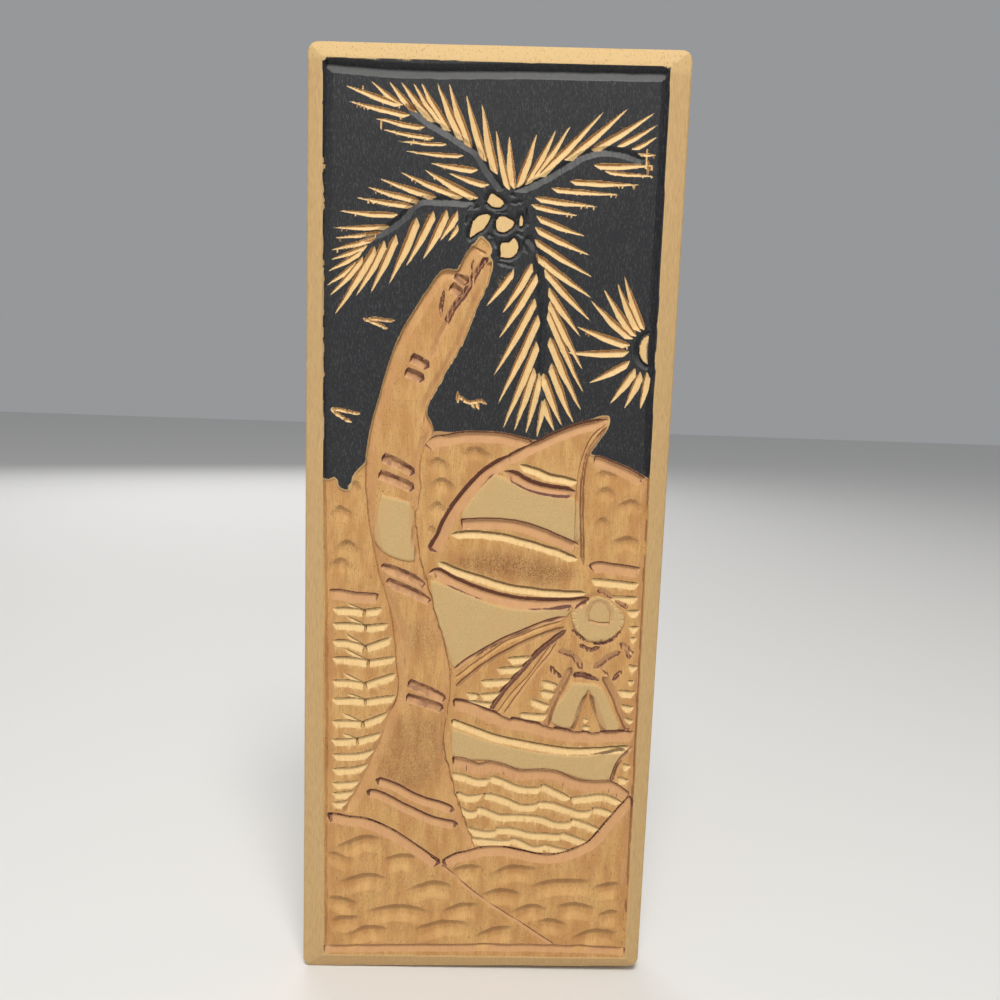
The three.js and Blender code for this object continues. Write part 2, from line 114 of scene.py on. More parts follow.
CRACK = (0.4, 0.3, 0.5)
BROAD_FACET = (2.1, 1.2, 0.75)
FOOT_RING = (1.2, 2.0, 1.1)
HILL_WEDGE = (1.9, 1.5, 1.0)
RAIL_STROKE = (1.3, 1.6, 1.1)
CROWN_GROOVE = (0.5, 1.1, 0.5)
BAND = (0.35, 0.9, 0.45)
BRIM_MARK = (0.4, 0.4, 0.3)
BELT_CUT = (1.3, 0.8, 1.0)
LEFT_LEG = (1.5, 1.1, 0.9)
RIGHT_LEG = (1.9, 0.8, 0.9)
INNER_LEFT_LEG = (1.2, 0.5, 0.8)
INNER_RIGHT_LEG = (1.9, 0.5, 0.8)

# Other tool marks, in millimetres
RAY_WIDTH = 2.4
SHAVED = 0.2  # depth to which the nuts and the sun's disc were shaved clean of paint
DUNE_STROKE = (6.5, 0.8)  # width and depth
HILL_STROKE = (5.0, 0.4)
HAT_STANDS = 0.45
BRIM_REACH = (8.3, 7.2)
BRIM_MARKS = 18
FLOOR_HALF_M = 3.0


def smooth_curve(points, spacing=0.6):
    """Points on a smooth curve through the given ones."""
    points = np.asarray(points, float)
    if len(points) < 3:
        return points
    run = np.r_[0, np.cumsum(np.hypot(*np.diff(points, axis=0).T))]
    tangents = np.gradient(points, run, axis=0)
    at = np.linspace(0, run[-1], max(4, math.ceil(run[-1] / spacing)))
    k = np.clip(np.searchsorted(run, at, "right") - 1, 0, len(run) - 2)
    span = (run[k + 1] - run[k])[:, None]
    s = (at - run[k])[:, None] / span
    start = (2 * s**3 - 3 * s**2 + 1) * points[k] + (s**3 - 2 * s**2 + s) * span * tangents[k]
    return start + (3 * s**2 - 2 * s**3) * points[k + 1] + (s**3 - s**2) * span * tangents[k + 1]


def ramp(value, low, high):
    """0 below low, 1 above high, smooth between."""
    t = np.clip((value - low) / (high - low), 0, 1)
    return t * t * (3 - 2 * t)


def lean(x):
    """How far the skewed board's rows stand above level at x."""
    return END_SKEW * x / (WIDTH / 2)


class Carving:
    """The board's front as arrays over a grid: its level, and what each cut left on it."""

    def __init__(self):
        self.random = np.random.default_rng(SEED)
        self.columns = np.linspace(-WIDTH / 2, WIDTH / 2, round(WIDTH / GRID_STEP) + 1)
        self.rows = np.linspace(-HEIGHT / 2, HEIGHT / 2, round(HEIGHT / GRID_STEP) + 1)
        self.x, self.flat_z = np.meshgrid(self.columns, self.rows)
        self.z = self.flat_z + lean(self.x)
        self.level = np.zeros_like(self.x)
        self.base = np.zeros_like(self.x)
        self.dye = np.zeros_like(self.x)
        self.fresh = np.zeros_like(self.x)
        self.curled = np.zeros_like(self.x)
        self.wobble = 0.10 * self.noise(4, 4) + 0.05 * self.noise(1.2, 1.2)
        self.fibres = np.clip(self.noise(0.45, 3.5), 0, 1) ** 1.5
        self.splinters = self.noise(0.5, 3)

    def noise(self, cell_x, cell_z):
        """Smooth random values from -1 to 1, in cells of that many millimetres."""
        across, up = (math.ceil(size / cell) + 3 for size, cell in ((WIDTH, cell_x), (HEIGHT, cell_z)))
        lattice = self.random.uniform(-1, 1, (up, across))
        place_x = (self.columns + WIDTH / 2) / cell_x
        place_z = (self.rows + HEIGHT / 2) / cell_z
        i, j = place_x.astype(int), place_z.astype(int)
        s, t = ramp(place_x - i, 0, 1), ramp(place_z - j, 0, 1)[:, None]
        low = lattice[j][:, i] * (1 - s) + lattice[j][:, i + 1] * s
        high = lattice[j + 1][:, i] * (1 - s) + lattice[j + 1][:, i + 1] * s
        return low * (1 - t) + high * t

    def inside(self, outline, soft=0.0):
        """1 inside a closed outline and 0 outside, with an edge softened over that many millimetres."""
        points = smooth_curve([*outline, outline[0]], 1.5)
        mask = np.zeros(self.x.shape, bool)
        for (ax, az), (bx, bz) in zip(points, np.roll(points, -1, axis=0)):
            if az == bz:
                continue
            between = (self.z > min(az, bz)) & (self.z <= max(az, bz))
            mask ^= between & (self.x < ax + (self.z - az) * (bx - ax) / (bz - az))
        return self.blurred(mask.astype(float), soft) if soft else mask.astype(float)

    def blurred(self, values, reach):
        """A box blur, three times over, so that it is nearly round."""
        half = max(1, round(reach / GRID_STEP / 2))
        for axis in (0, 1, 0, 1, 0, 1):
            padding = [(half + 1, half) if a == axis else (0, 0) for a in (0, 1)]
            total = np.cumsum(np.pad(values, padding, mode="edge"), axis=axis)
            window = 2 * half + 1
            ahead = np.take(total, range(window, total.shape[axis]), axis=axis)
            behind = np.take(total, range(total.shape[axis] - window), axis=axis)
            values = (ahead - behind) / window
        return values

    def nearest(self, path, reach):
        """Near a path: that part of the grid, the distance to the path's left and the way along it."""
        path = path.copy()
        path[:, 1] -= lean(path[:, 0])
        low, high = path.min(0) - reach, path.max(0) + reach
        cols = slice(*np.searchsorted(self.columns, (low[0], high[0])))
        rows = slice(*np.searchsorted(self.rows, (low[1], high[1])))
        x, z = self.x[rows, cols], self.flat_z[rows, cols]
        distance = np.full(x.shape, 1e3)
        side = np.full(x.shape, 1e3)
        along = np.zeros(x.shape)
        travelled = 0.0
        for a, b in zip(path[:-1], path[1:]):
            step = b - a
            length = math.hypot(*step)
            near = np.minimum(a, b) - reach, np.maximum(a, b) + reach
            c = slice(*np.searchsorted(x[0], (near[0][0], near[1][0]))) if x.size else slice(0, 0)
            r = slice(*np.searchsorted(z[:, 0], (near[0][1], near[1][1]))) if x.size else slice(0, 0)
            dx, dz = x[r, c] - a[0], z[r, c] - a[1]
            share = np.clip((dx * step[0] + dz * step[1]) / length**2, 0, 1)
            here = np.hypot(dx - share * step[0], dz - share * step[1])
            closer = here < distance[r, c]
            left = np.where(step[0] * dz - step[1] * dx > 0, 1.0, -1.0)
            distance[r, c] = np.where(closer, here, distance[r, c])
            side[r, c] = np.where(closer, here * left, side[r, c])
            along[r, c] = np.where(closer, travelled + share * length, along[r, c])
            travelled += length
        return (rows, cols), side, along, travelled

    def remove(self, window, surface, dye, fresh):
        """Takes the wood above a surface away and marks the place by the kind of cut."""
        deeper = surface < self.level[window]
        self.level[window] = np.where(deeper, surface, self.level[window])
        self.dye[window] = np.where(deeper, dye, self.dye[window])
        self.fresh[window] = np.where(deeper, fresh, self.fresh[window])

    def cut(self, points, size, ends, dye=0.0, fresh=0.0, torn=0.0, splinter=0.0, straight=False):
        """A V cut along a path, its steep wall on the path's left. It deepens over the lengths in ends."""
        wall, slope, depth = size
        path = np.asarray(points, float) if straight else smooth_curve(points)
        window, side, along, total = self.nearest(path, max(wall, slope) + 1.5)
        side = side + self.wobble[window] + splinter * self.splinters[window]
        taper = np.clip(along / ends[0], 0, 1) * np.clip((total - along) / ends[1], 0, 1)
        steepness = np.where(side > 0, depth / wall, depth / slope)
        surface = self.base[window] - depth * taper**0.75 + np.abs(side) * steepness
        if torn:
            below = np.clip(-side / slope, 0, 1.3)
            surface -= torn * below * self.fibres[window] * (taper > 0.05)
        surface = np.where(taper > 0, surface, 1.0)
        self.remove(window, surface, dye, fresh)

    def leaf(self, tip, root, width):
        """A leaf-shaped cut: a long point at the tip and a blunt root, the steep wall above."""
        tip, root = np.array(tip, float), np.array(root, float)
        length = math.dist(tip, root)
        ends = (0.55 * length, min(2.0, 0.25 * length))
        left, right = (tip, root) if tip[0] < root[0] else (root, tip)
        if tip[0] > root[0]:
            ends = ends[::-1]
        size = (0.26 * width, 0.74 * width, 0.34 * width)
        self.cut([left, right], size, ends, fresh=1.0, straight=True)
        if abs(root[0] - tip[0]) > 0.9 * length:
            self.drips(left, right, 0.5 * width)

    def drips(self, left, right, drop):
        """Torn fibres below a cut across the grain."""
        for share in self.random.uniform(0.15, 0.95, round(math.dist(left, right) / 2.2)):
            x, z = left + share * (right - left)
            bottom = z - drop - self.random.uniform(0.1, 0.7)
            self.cut([(x, z), (x, bottom)], DRIP, (0.2, 0.4), fresh=1.0, straight=True)

    def scoop(self, arch, width, depth, curled=0.0):
        """A gouge stroke: it drops from the arch of its upper edge and runs out below."""
        window, side, along, total = self.nearest(smooth_curve(arch), width + 1)
        down = np.clip(-(side + 1.5 * self.wobble[window]) / width, 0, 1)
        end_fade = np.sin(math.pi * np.clip(along / total, 0, 1)) ** 0.6
        dip = 6.8 * down**1.2 * (1 - down) ** 1.6
        surface = self.base[window] - depth * dip * end_fade
        inside = (down > 0) & (down < 1)
        self.remove(window, np.where(inside, surface, 1.0), 0.0, 0.0)
        mark = curled * end_fade * ramp(down, 0.0, 0.06) * (1 - ramp(down, 0.2, 0.5))
        self.curled[window] = np.maximum(self.curled[window], np.where(inside, mark, 0))


# The palm's four fronds: each leaf as its tip, its root and its width
LEAVES = [
    ((-45.7, 134.8), (-28.8, 130), 1.9), ((-45, 130.5), (-26.3, 127.1), 1.7),
    ((-37.3, 126), (-21.9, 123.8), 1.6), ((-35.1, 122.8), (-18.9, 120.9), 1.4),
    ((-30.3, 119.6), (-14.9, 119.3), 1.1), ((-27.6, 116.8), (-10, 116.2), 1.4),
    ((-20.4, 113.8), (-5.7, 112.4), 1.9), ((-14.9, 111.1), (-2.3, 108.1), 1.9),
    ((-38.3, 136.3), (-28.3, 129.8), 1.6), ((-32.8, 136.5), (-24.4, 128.1), 1.9),
    ((-29.3, 136.5), (-18.9, 125.5), 2.3), ((-25.8, 136.3), (-16.7, 124.9), 1.9),
    ((-23.5, 136.5), (-14.1, 123.1), 2.4), ((-18.7, 136.7), (-10.2, 120.6), 2.4),
    ((-15.2, 136.7), (-7.7, 118.6), 2.5), ((-10, 133.8), (-3.2, 114.8), 2.3),
    ((-5.2, 131.3), (0, 111.2), 2.5), ((-0.8, 124), (3.9, 106.7), 2.1), ((3.2, 122.6), (5.4, 107.1), 2.3),
    ((11.4, 123.5), (5.9, 107.6), 2.3), ((17.2, 125), (8.4, 108.6), 2.2),
    ((21.6, 126.3), (10.4, 110.1), 2.0), ((31.2, 130.5), (11.9, 111.1), 2.4),
    ((38.4, 131.7), (19.9, 116.1), 2.3), ((46.5, 130.7), (27.8, 119.4), 2.2),
    ((47.5, 127.3), (35.3, 120.6), 1.7), ((47.7, 124), (39.7, 119.9), 1.4),
    ((47.7, 118.6), (41.7, 118.9), 1.2), ((47.5, 115.6), (28.8, 115.1), 2.0),
    ((48, 112.4), (32.1, 113.4), 1.3), ((42.9, 109.8), (21.8, 110.3), 1.9),
    ((37.7, 106.7), (16.4, 107.9), 1.7), ((30.8, 103), (11.6, 105.1), 1.9),
    ((25.3, 100.1), (10.4, 103.1), 1.6), ((27.5, 94.2), (12.2, 99.7), 2.0),
    ((29.3, 88.6), (11.9, 96.5), 2.1), ((30.3, 82.1), (11.9, 93), 2.1), ((30.3, 75.9), (12.6, 88.6), 2.3),
    ((30.3, 68.9), (15.4, 84.3), 2.3), ((27.3, 64.2), (16.9, 78.8), 2.3), ((28.6, 54), (17.4, 74.9), 2.4),
    ((29.1, 46.8), (17.2, 71.9), 2.3), ((28.6, 41.4), (17.9, 63.9), 2.5), ((26.3, 37.6), (18.7, 56), 2.5),
    ((22.8, 36.6), (16.4, 53), 2.5), ((20.4, 35.1), (16.9, 45), 2.2), ((-2.2, 72.2), (5.9, 83.8), 2.0),
    ((2.8, 70.4), (11.4, 85.8), 2.4), ((2, 62.7), (12.9, 82.8), 2.5), ((0.8, 51.2), (12.7, 75.4), 2.4),
    ((2.4, 42.7), (13.9, 70.4), 2.5), ((4.2, 35.1), (13.7, 62.4), 2.5), ((7.7, 34.3), (13.1, 54.5), 2.3),
    ((11.4, 33.6), (14.9, 53), 2.2), ((14.9, 32.6), (16.2, 44.6), 1.8),
    ((-21.9, 111.9), (-5.5, 104.2), 2.4), ((-29.1, 110.8), (-10, 104.2), 2.0),
    ((-35.3, 108.8), (-17.9, 104.1), 2.0), ((-38.8, 106.1), (-22.9, 102.9), 1.9),
    ((-42.2, 103.1), (-24.9, 101.3), 1.8), ((-47.7, 98.9), (-29.3, 98.5), 1.7),
    ((-49, 93.9), (-31.8, 95.3), 1.7), ((-49, 90.8), (-34.3, 93.4), 1.3),
    ((-49.7, 87.3), (-35.8, 91.7), 1.7), ((-49.7, 84.5), (-38.3, 89.3), 1.7),
    ((-50.4, 81.1), (-39.8, 87.8), 1.8), ((-50.7, 76.8), (-41.7, 84.3), 1.7),
    ((-49.7, 73.7), (-39.8, 85.8), 2.1), ((-48.2, 68.1), (-36.3, 89), 2.5),
    ((-41.7, 73.9), (-33.3, 90.8), 2.4), ((-37.5, 74.9), (-30, 92.7), 2.4),
    ((-31.8, 77.8), (-23.9, 98), 2.7), ((-26.8, 83.3), (-18.9, 100), 2.5),
    ((-21.7, 85.3), (-14.9, 100.5), 2.5), ((-16.7, 91.3), (-11.6, 100.2), 2.2),
    ((-14.2, 91.1), (-11.4, 96.2), 1.6),
]
# Where the tool slipped along the grain between two leaves
SLIPS = [
    ((-34.8, 126), (-34.8, 122.6)), ((-34.3, 132.4), (-34.3, 129.6)), ((-29, 128.2), (-29, 125.6)),
    ((-29.6, 131.2), (-29.6, 128.6)), ((44.6, 120.4), (44.6, 114.4)), ((45.1, 117), (45.1, 112.6)),
    ((-25.3, 120.4), (-25.3, 118.8)), ((-40.5, 135), (-40.5, 133.6)),
]
RIBS = [
    [(-28, 130.5), (-26, 129.5), (-20, 125.5), (-14, 122.5), (-10, 120), (-6, 117.6), (-3.5, 114),
     (2, 106.6)], [(5, 106.6), (12, 110), (20, 114.6), (26, 118.3), (32, 119.6), (38, 119), (44, 117)],
    [(-41, 90.6), (-33, 94.5), (-28, 98.2), (-24, 102.6), (-15, 103.4), (-6, 103.1)],
]
DROOPING_RIB = [(9.5, 94), (12.5, 90), (14, 82), (15.2, 72), (15.5, 60), (15.8, 46)]
# Every nut runs clockwise, so that its groove's left side lies outside it
NUTS = [
    [(-3, 103.2), (-1.6, 105.7), (0.4, 104.9), (2.4, 102.9), (1.4, 101.8), (-1.4, 101.9)],
    [(-6.9, 97.5), (-4.6, 99.5), (-1.8, 99.4), (-3.1, 95.7), (-5.4, 94), (-7.5, 92.5)],
    [(0.1, 97.8), (1, 99), (3.5, 98.9), (5.7, 97.3), (4.4, 95.4), (2.4, 94.5), (0.5, 94.9)],
    [(7, 98.1), (7.7, 99.9), (8.3, 98.5), (7.8, 96.2), (7.1, 96.6)],
    [(1.6, 87.2), (2.2, 91.7), (4.3, 91.8), (5.6, 93.3), (7, 91.7), (6.8, 88.3), (4.7, 86.9)],
]
# Short nicks between the nuts, cut before the paint
NICKS = [
    [(-0.5, 100.4), (4, 99.9)], [(5.9, 94.8), (8.6, 93.2)], [(-2.6, 94.3), (0.2, 92.4)],
    [(-1, 93.4), (0.6, 89.6)], [(4, 103), (8.4, 103.6)], [(8.9, 102.3), (9.9, 96.2)],
    [(8.6, 92.6), (9.6, 88.2)], [(-8.6, 100.4), (-6.4, 103.6)], [(-9.2, 96), (-8.2, 99.6)],
    [(0.8, 85.6), (6.8, 84.6)], [(3.6, 105.8), (6, 105)], [(-4.4, 102.2), (-6.8, 100.6)],
]

# Trunk, from its top under the nuts to the dune
TRUNK_LEFT = [
    (-6.5, 90.5), (-9, 86.3), (-11, 82.6), (-14.4, 82.8), (-19.9, 76.3), (-23.9, 69.9), (-27.3, 63.9),
    (-31.3, 53), (-33.8, 43.6), (-36.3, 34.1), (-37.8, 20.2), (-35.8, 0.3), (-33.3, -11.6), (-29.3, -24.5),
    (-27.3, -39.4), (-26.8, -53), (-28.5, -57.5), (-31.7, -67.4), (-35, -75.4), (-38.7, -84.1),
    (-43.6, -92.9),
]
TRUNK_RIGHT = [
    (-0.8, 85.8), (-2, 79.8), (-5, 72.9), (-9, 61.9), (-11.9, 56.5), (-17.4, 46), (-19.9, 40.1),
    (-17.7, 33.1), (-19.9, 29.6), (-21.4, 15.2), (-22.2, 5.3), (-20.9, -4.6), (-16.9, -19.5),
    (-11.9, -35.4), (-9.8, -47.4), (-11.7, -65.2), (-8, -83.1), (0, -105),
]
TRUNK_TOP = [
    (-4.3, 93), (-1.6, 90.5), (-1, 88.9), (-2.4, 87.2), (-4.9, 84.5), (-6.3, 81.9), (-7.6, 80.4),
    (-10.6, 82.5), (-8.7, 86.3), (-6.5, 89.8),
]
# Cuts beside the trunk's top: a stained channel down its right, a facet, a notch and a crack
TRUNK_CHANNEL = [(-2, 87), (-5.7, 81.9), (-7.3, 78.2), (-9.8, 74.4), (-12.3, 70.6), (-14, 66.8)]
TRUNK_CHANNEL_FOOT = [(-13, 68.5), (-14.8, 65), (-16.8, 60.5), (-18.6, 55.5)]
TRUNK_SHADOW = [(-15.8, 68.1), (-15.5, 73), (-14.7, 77.6)]
TRUNK_NOTCH = [(-6.5, 89.8), (-4.5, 89), (-2.4, 88.1)]
TRUNK_CRACK = [(-6.4, 82.7), (-6.8, 84.1), (-6.1, 86.7)]
# Each growth ring is two cuts that start bluntly on the left, the last two long ones at the trunk's foot
TRUNK_RINGS = [
    [(-12, 81.7), (-10, 80.8), (-7.3, 79)], [(-13.2, 78.2), (-11.4, 77.2), (-9, 75.3)],
    [(-24.8, 56.4), (-22, 55.2), (-18.9, 53.3)], [(-26.4, 52), (-24, 51.2), (-20.3, 49.5)],
    [(-33, 25.4), (-28, 23.4), (-22.6, 20.3)], [(-34, 20), (-28, 17.9), (-22.5, 15.4)],
    [(-33, -9.5), (-25, -12.2), (-18, -15.6)], [(-31.2, -14.4), (-24, -17.1), (-16.2, -20.8)],
    [(-23.4, -47.7), (-17, -50.2), (-10.6, -53.4)], [(-24, -52.6), (-18, -54.2), (-11.4, -56.6)],
]
FOOT_RINGS = [
    [(-33.5, -81.2), (-31, -81.7), (-17.9, -87.6), (-9.3, -90.2), (-6.7, -91.5)],
    [(-36.5, -85.4), (-34.3, -85.6), (-22.8, -90.7), (-13.3, -94.8), (-5.6, -96.1)],
]
TRUNK_PLANED = [(-33, 13), (-23.4, 10), (-23, 0), (-22, -7), (-30, -6), (-34, -3)]
TRUNK_FACET = [(-31.6, -16.4), (-30, -20), (-27.6, -26), (-25.6, -33), (-24.4, -41), (-25.4, -50)]
TRUNK_SHADED_SIDE = [
    (-26.7, -54.2), (-28.5, -57.5), (-31.7, -67.4), (-35, -75.4), (-38.7, -84.1), (-43.6, -92.9),
]

# Low sun against the right-hand strip, and birds
SUN_CENTRE = (49, 61.2)
SUN_DISC = (3.4, 4.4)
RAYS = [
    ((39.7, 83.1), (46.8, 67)), ((37.7, 80.8), (45.6, 66.4)), ((33.6, 79.1), (44.4, 65)),
    ((29.8, 75.4), (43.4, 64.2)), ((25.8, 67.4), (42.6, 62.3)), ((23.3, 59.3), (42.4, 60.4)),
    ((30.3, 50.3), (42.8, 57.6)), ((37.2, 44.1), (44.6, 55.4)), ((41.9, 42.8), (46.2, 54.4)),
    ((46.7, 42.6), (48.2, 54.4)),
]
BIRDS = [
    [(-39.5, 67.6), (-36, 66.5), (-31.8, 64.6)], [(-37.8, 67.8), (-34, 67.4), (-29.8, 67.1)],
    [(-49.2, 39.8), (-46, 37.7), (-42.4, 35.7)], [(-49, 40), (-44.4, 39.3), (-39.8, 38.5)],
    [(-9.8, 46.6), (-9.9, 42.6)], [(-9.8, 45.4), (-7.4, 43.4), (-4.8, 43.2), (-3, 43.8), (-0.7, 42.7)],
    [(-5.6, 43.2), (-4.6, 41.2)], [(-4, 43.4), (-3.2, 40.8)],
]

# Hills behind the boat
HILL_LEFT = [
    (-52.5, 19.5), (-50, 17), (-47.5, 18.3), (-46.5, 15.2), (-43, 14.2), (-41.5, 19.2), (-38.5, 22.5),
    (-36.5, 24.5),
]
HILL_MIDDLE = [
    (-19.7, 29.3), (-17.4, 31.6), (-13.3, 32.5), (-8.6, 33.5), (-1.5, 33.9), (3.5, 33.8), (13.8, 31.8),
]
HILL_RIGHT = [(33.3, 27.6), (35.8, 27.1), (39.8, 25.7), (43.7, 24.2), (49.8, 21.2)]
# Shallow gouge strokes on the hills, with torn fibres at their upper edges
HILL_SCOOPS = [
    [(-50, 7), (-46, 9.6), (-41, 7)], [(-48, -4), (-44, -1.2), (-38.6, -4)],
    [(-44, 16), (-41, 17.6), (-38.5, 15)], [(-50, -9), (-45, -7), (-41, -9.6)],
    [(-19.5, 24), (-15.5, 25.8), (-11.4, 23)], [(-18.6, 17.4), (-14, 19.6), (-8.8, 16.4)],
    [(-19, 9.6), (-15.5, 12), (-11.6, 9.4)], [(-19, 2.4), (-17.4, 4.4), (-14.6, 2.2)],
    [(-9, 28), (-4, 29.6), (2, 27.4)], [(33.6, 16.4), (37.6, 18.4), (41.4, 16)],
    [(41, 12.6), (46, 14.6), (50, 12.8)], [(34, 6.6), (37, 8.8), (40, 6.4)],
    [(39.4, 0.8), (45, 2.8), (50, 1.4)], [(33.6, 22.6), (38, 23.6), (42, 21.6)],
]

# Sail, with its seams from the top down
SAIL_EDGE_LOW = [
    (-17.4, -4.2), (-14.9, 0.3), (-11.9, 7.3), (-8, 13.3), (-4, 18.2), (0, 22.2), (3, 24.2), (8, 27.6),
]
SAIL_EDGE_HIGH = [(5.4, 25.8), (10, 28.6), (14.4, 30.9), (21.8, 34.6), (27.8, 37.1), (37.3, 39.4)]
MAST = [(31.6, -7.6), (30.8, 2.3), (30.2, 12.3), (30.2, 22.2), (31.3, 28.2), (33.8, 32.6), (37, 37.1)]
MAST_BACK = [(28.6, -3.6), (28.4, 8.3), (28.6, 20.2), (29.8, 27.2), (32.8, 34.1), (36.8, 38.1)]
STAINED_WEDGES = [
    [(5, 22), (8, 21.3), (11.9, 19.2), (15.9, 17.8), (19.9, 17), (28.3, 16.2)],
    [(-17.9, -11.6), (-15.9, -10.7), (-10, -13.1), (-4, -15.6), (2, -17.5), (11.9, -19.5), (21.8, -19.6),
     (29.7, -19.1), (34.1, -17.9)],
]
STAINED_SEAM = [(-8, 6.1), (0, 6.6), (5, 6.7), (11.9, 5.8), (17.9, 4), (23.8, 1.8), (29.8, -0.7)]
FRESH_SEAMS = [
    [(9.9, 24.2), (15.9, 22.5), (19.9, 21), (23.8, 20.4), (28.8, 19.4)],
    [(-10.9, 1.3), (-6, 2.1), (0, 1.9), (5.9, 1.3), (13.9, -0.5), (21.8, -2.6), (29.8, -5.4)],
    [(-14.9, -7.6), (-10, -9.6), (0, -12.6), (7.9, -14.8), (15.9, -15.8), (23.8, -16.4), (32.8, -16.4)],
]
# Where the grain tore between the seams
PORE_BANDS = [
    ([(-12, -7), (0, -4.6), (12, -5), (24, -8), (30, -9.5), (24, -13.4), (8, -12), (-6, -9.6)], 1.0),
    ([(-28, -60), (-14, -60), (-13, -80), (-20, -85), (-33, -79)], 0.6),
    ([(-26, -28), (-14, -28), (-13, -34), (-24, -36)], 0.5),
]
UPPER_PANEL = [
    (2, 20.7), (5, 19.8), (11.9, 16.6), (19.9, 14.8), (27.8, 13.8), (28.8, 0.3), (23.8, 2.1), (11.9, 6.1),
    (0, 6.9), (-7.5, 6.7), (-3, 14.7),
]
LOWER_PANEL = [
    (-16.9, -13.6), (-10, -16.1), (-4, -18.5), (7.9, -22.1), (19.9, -22.3), (28.8, -21.5), (26.8, -24.1),
    (13.9, -28.8), (0, -36.2), (-8.5, -42.2), (-10.9, -36.4), (-15.4, -23.5),
]

# Boom and the spars below the sail, each as its line, its size and how much stain it took
SPARS = [
    ([(-8.5, -42.7), (-5, -39.9), (0, -36.4), (5.9, -32.8), (13.9, -29), (19.9, -26.3), (26.8, -24.3)],
     LINE, 0.9),
    ([(-8.3, -45.9), (0, -39.1), (7.9, -33.2), (13.9, -30.5), (19.9, -27.7), (25.8, -25.8)], THIN, 0.2),
    ([(-8, -48.8), (-4, -45.1), (4, -38.7), (9.9, -35.2), (19.9, -30.2), (26.8, -27.7)], LINE, 0.5),
    ([(3.5, -56.3), (7.9, -49.3), (11.9, -44.4), (15.9, -39.4), (19.9, -34.9), (23.8, -31.5), (27.3, -28.5)],
     (1.1, 0.9, 0.9), 0.9), ([(5.9, -57.3), (9.9, -51.3), (15.9, -43.9), (22.8, -33.4)], THIN, 0.3),
    ([(7.9, -57.8), (13.9, -48.4), (17.9, -42.4), (21.8, -37.4), (24.3, -32.5)], THIN, 0.6),
]
# The rail of the hull as it was cut, in five strokes
RAIL = [
    [(-8.8, -53.7), (-6.4, -53.9), (3.7, -57.2), (7.7, -58.8)],
    [(9.9, -59.6), (11.7, -59.7), (21.8, -61.8)], [(24.1, -62.4), (31.6, -63.4)],
    [(33.3, -63.4), (37.7, -63.6)], [(39.5, -63.3), (51, -62.8)],
]
HULL_LINE = [
    (-9.2, -60.1), (-1.8, -62.7), (6.2, -65.5), (13.7, -66.9), (22.6, -68.5), (31.4, -69.3), (38, -69),
    (50.3, -67.7),
]
WATERLINE = [
    (-8.5, -73), (-4.5, -73.2), (0.4, -75.1), (4.3, -74.2), (8.7, -74.9), (13.7, -77), (18.5, -76.5),
    (25.6, -76.7), (31.9, -79.6), (36.3, -80.2), (43, -79.9), (46.6, -81.3), (50.8, -84.5),
]
BOW = [(44.1, -80), (44.6, -77.6), (45.8, -73.9), (47.8, -70.6), (50.7, -67.7)]
HULL_PANEL = [
    (-8.6, -62.9), (2, -66.6), (9.9, -68.7), (19.9, -70.4), (35.8, -71.2), (48.3, -69.4), (45.2, -74.2),
    (43.7, -78.8), (35.8, -79.2), (25.8, -76.4), (13.9, -76), (4, -73.4), (-8, -72.2),
]

# Water: wave strokes under the hull, then on the left in two strokes to a row, and on the right
HULL_WAVES = [
    [(-8.3, -78.2), (-5, -78.9), (0, -80.5), (4.5, -80.3)],
    [(4, -79), (7.9, -80.1), (11.9, -81.9), (15.9, -82.8), (21.8, -82.6)],
    [(20.9, -81.3), (24.8, -82.9), (28.8, -84.8), (31.3, -86.1)],
    [(30.8, -86), (35.8, -85.4), (40.7, -84.7), (44.7, -85.4), (48.2, -87.3)],
    [(-6.8, -84.6), (-3, -86.1), (2, -85.5)],
    [(2, -85.1), (5.9, -85.6), (9.9, -86.9), (14.9, -88.9), (20.9, -88.4)],
    [(19.9, -87.6), (25.8, -88.1), (29.8, -89.4), (34.8, -90.9), (38.7, -90.1)],
    [(38.2, -89.1), (41.7, -89.7), (45.7, -91.1)], [(-5.5, -90.1), (-2, -91.8), (1, -91.1)],
    [(0, -89.9), (4, -91.1), (7.9, -92.5), (13.9, -92.4), (17.9, -92.6), (21.8, -93.1), (26.8, -94.8),
     (32.8, -94.4)], [(31.3, -93.4), (35.8, -94.6), (41.7, -97)],
    [(-3.5, -97), (0, -98), (4, -98.6), (7.9, -98)],
    [(6.4, -97.2), (11.9, -97.2), (17.9, -98.6), (23.8, -99), (29.8, -99)],
    [(28.3, -98.2), (33.8, -100), (37.7, -101.5)], [(-2, -101), (2, -101.3), (7.9, -101.6), (12.9, -101.3)],
    [(11.9, -100.5), (15.9, -102), (18.9, -103.5), (23.8, -103)],
    [(22.8, -102.6), (27.8, -103.8), (31.8, -104.8)],
]
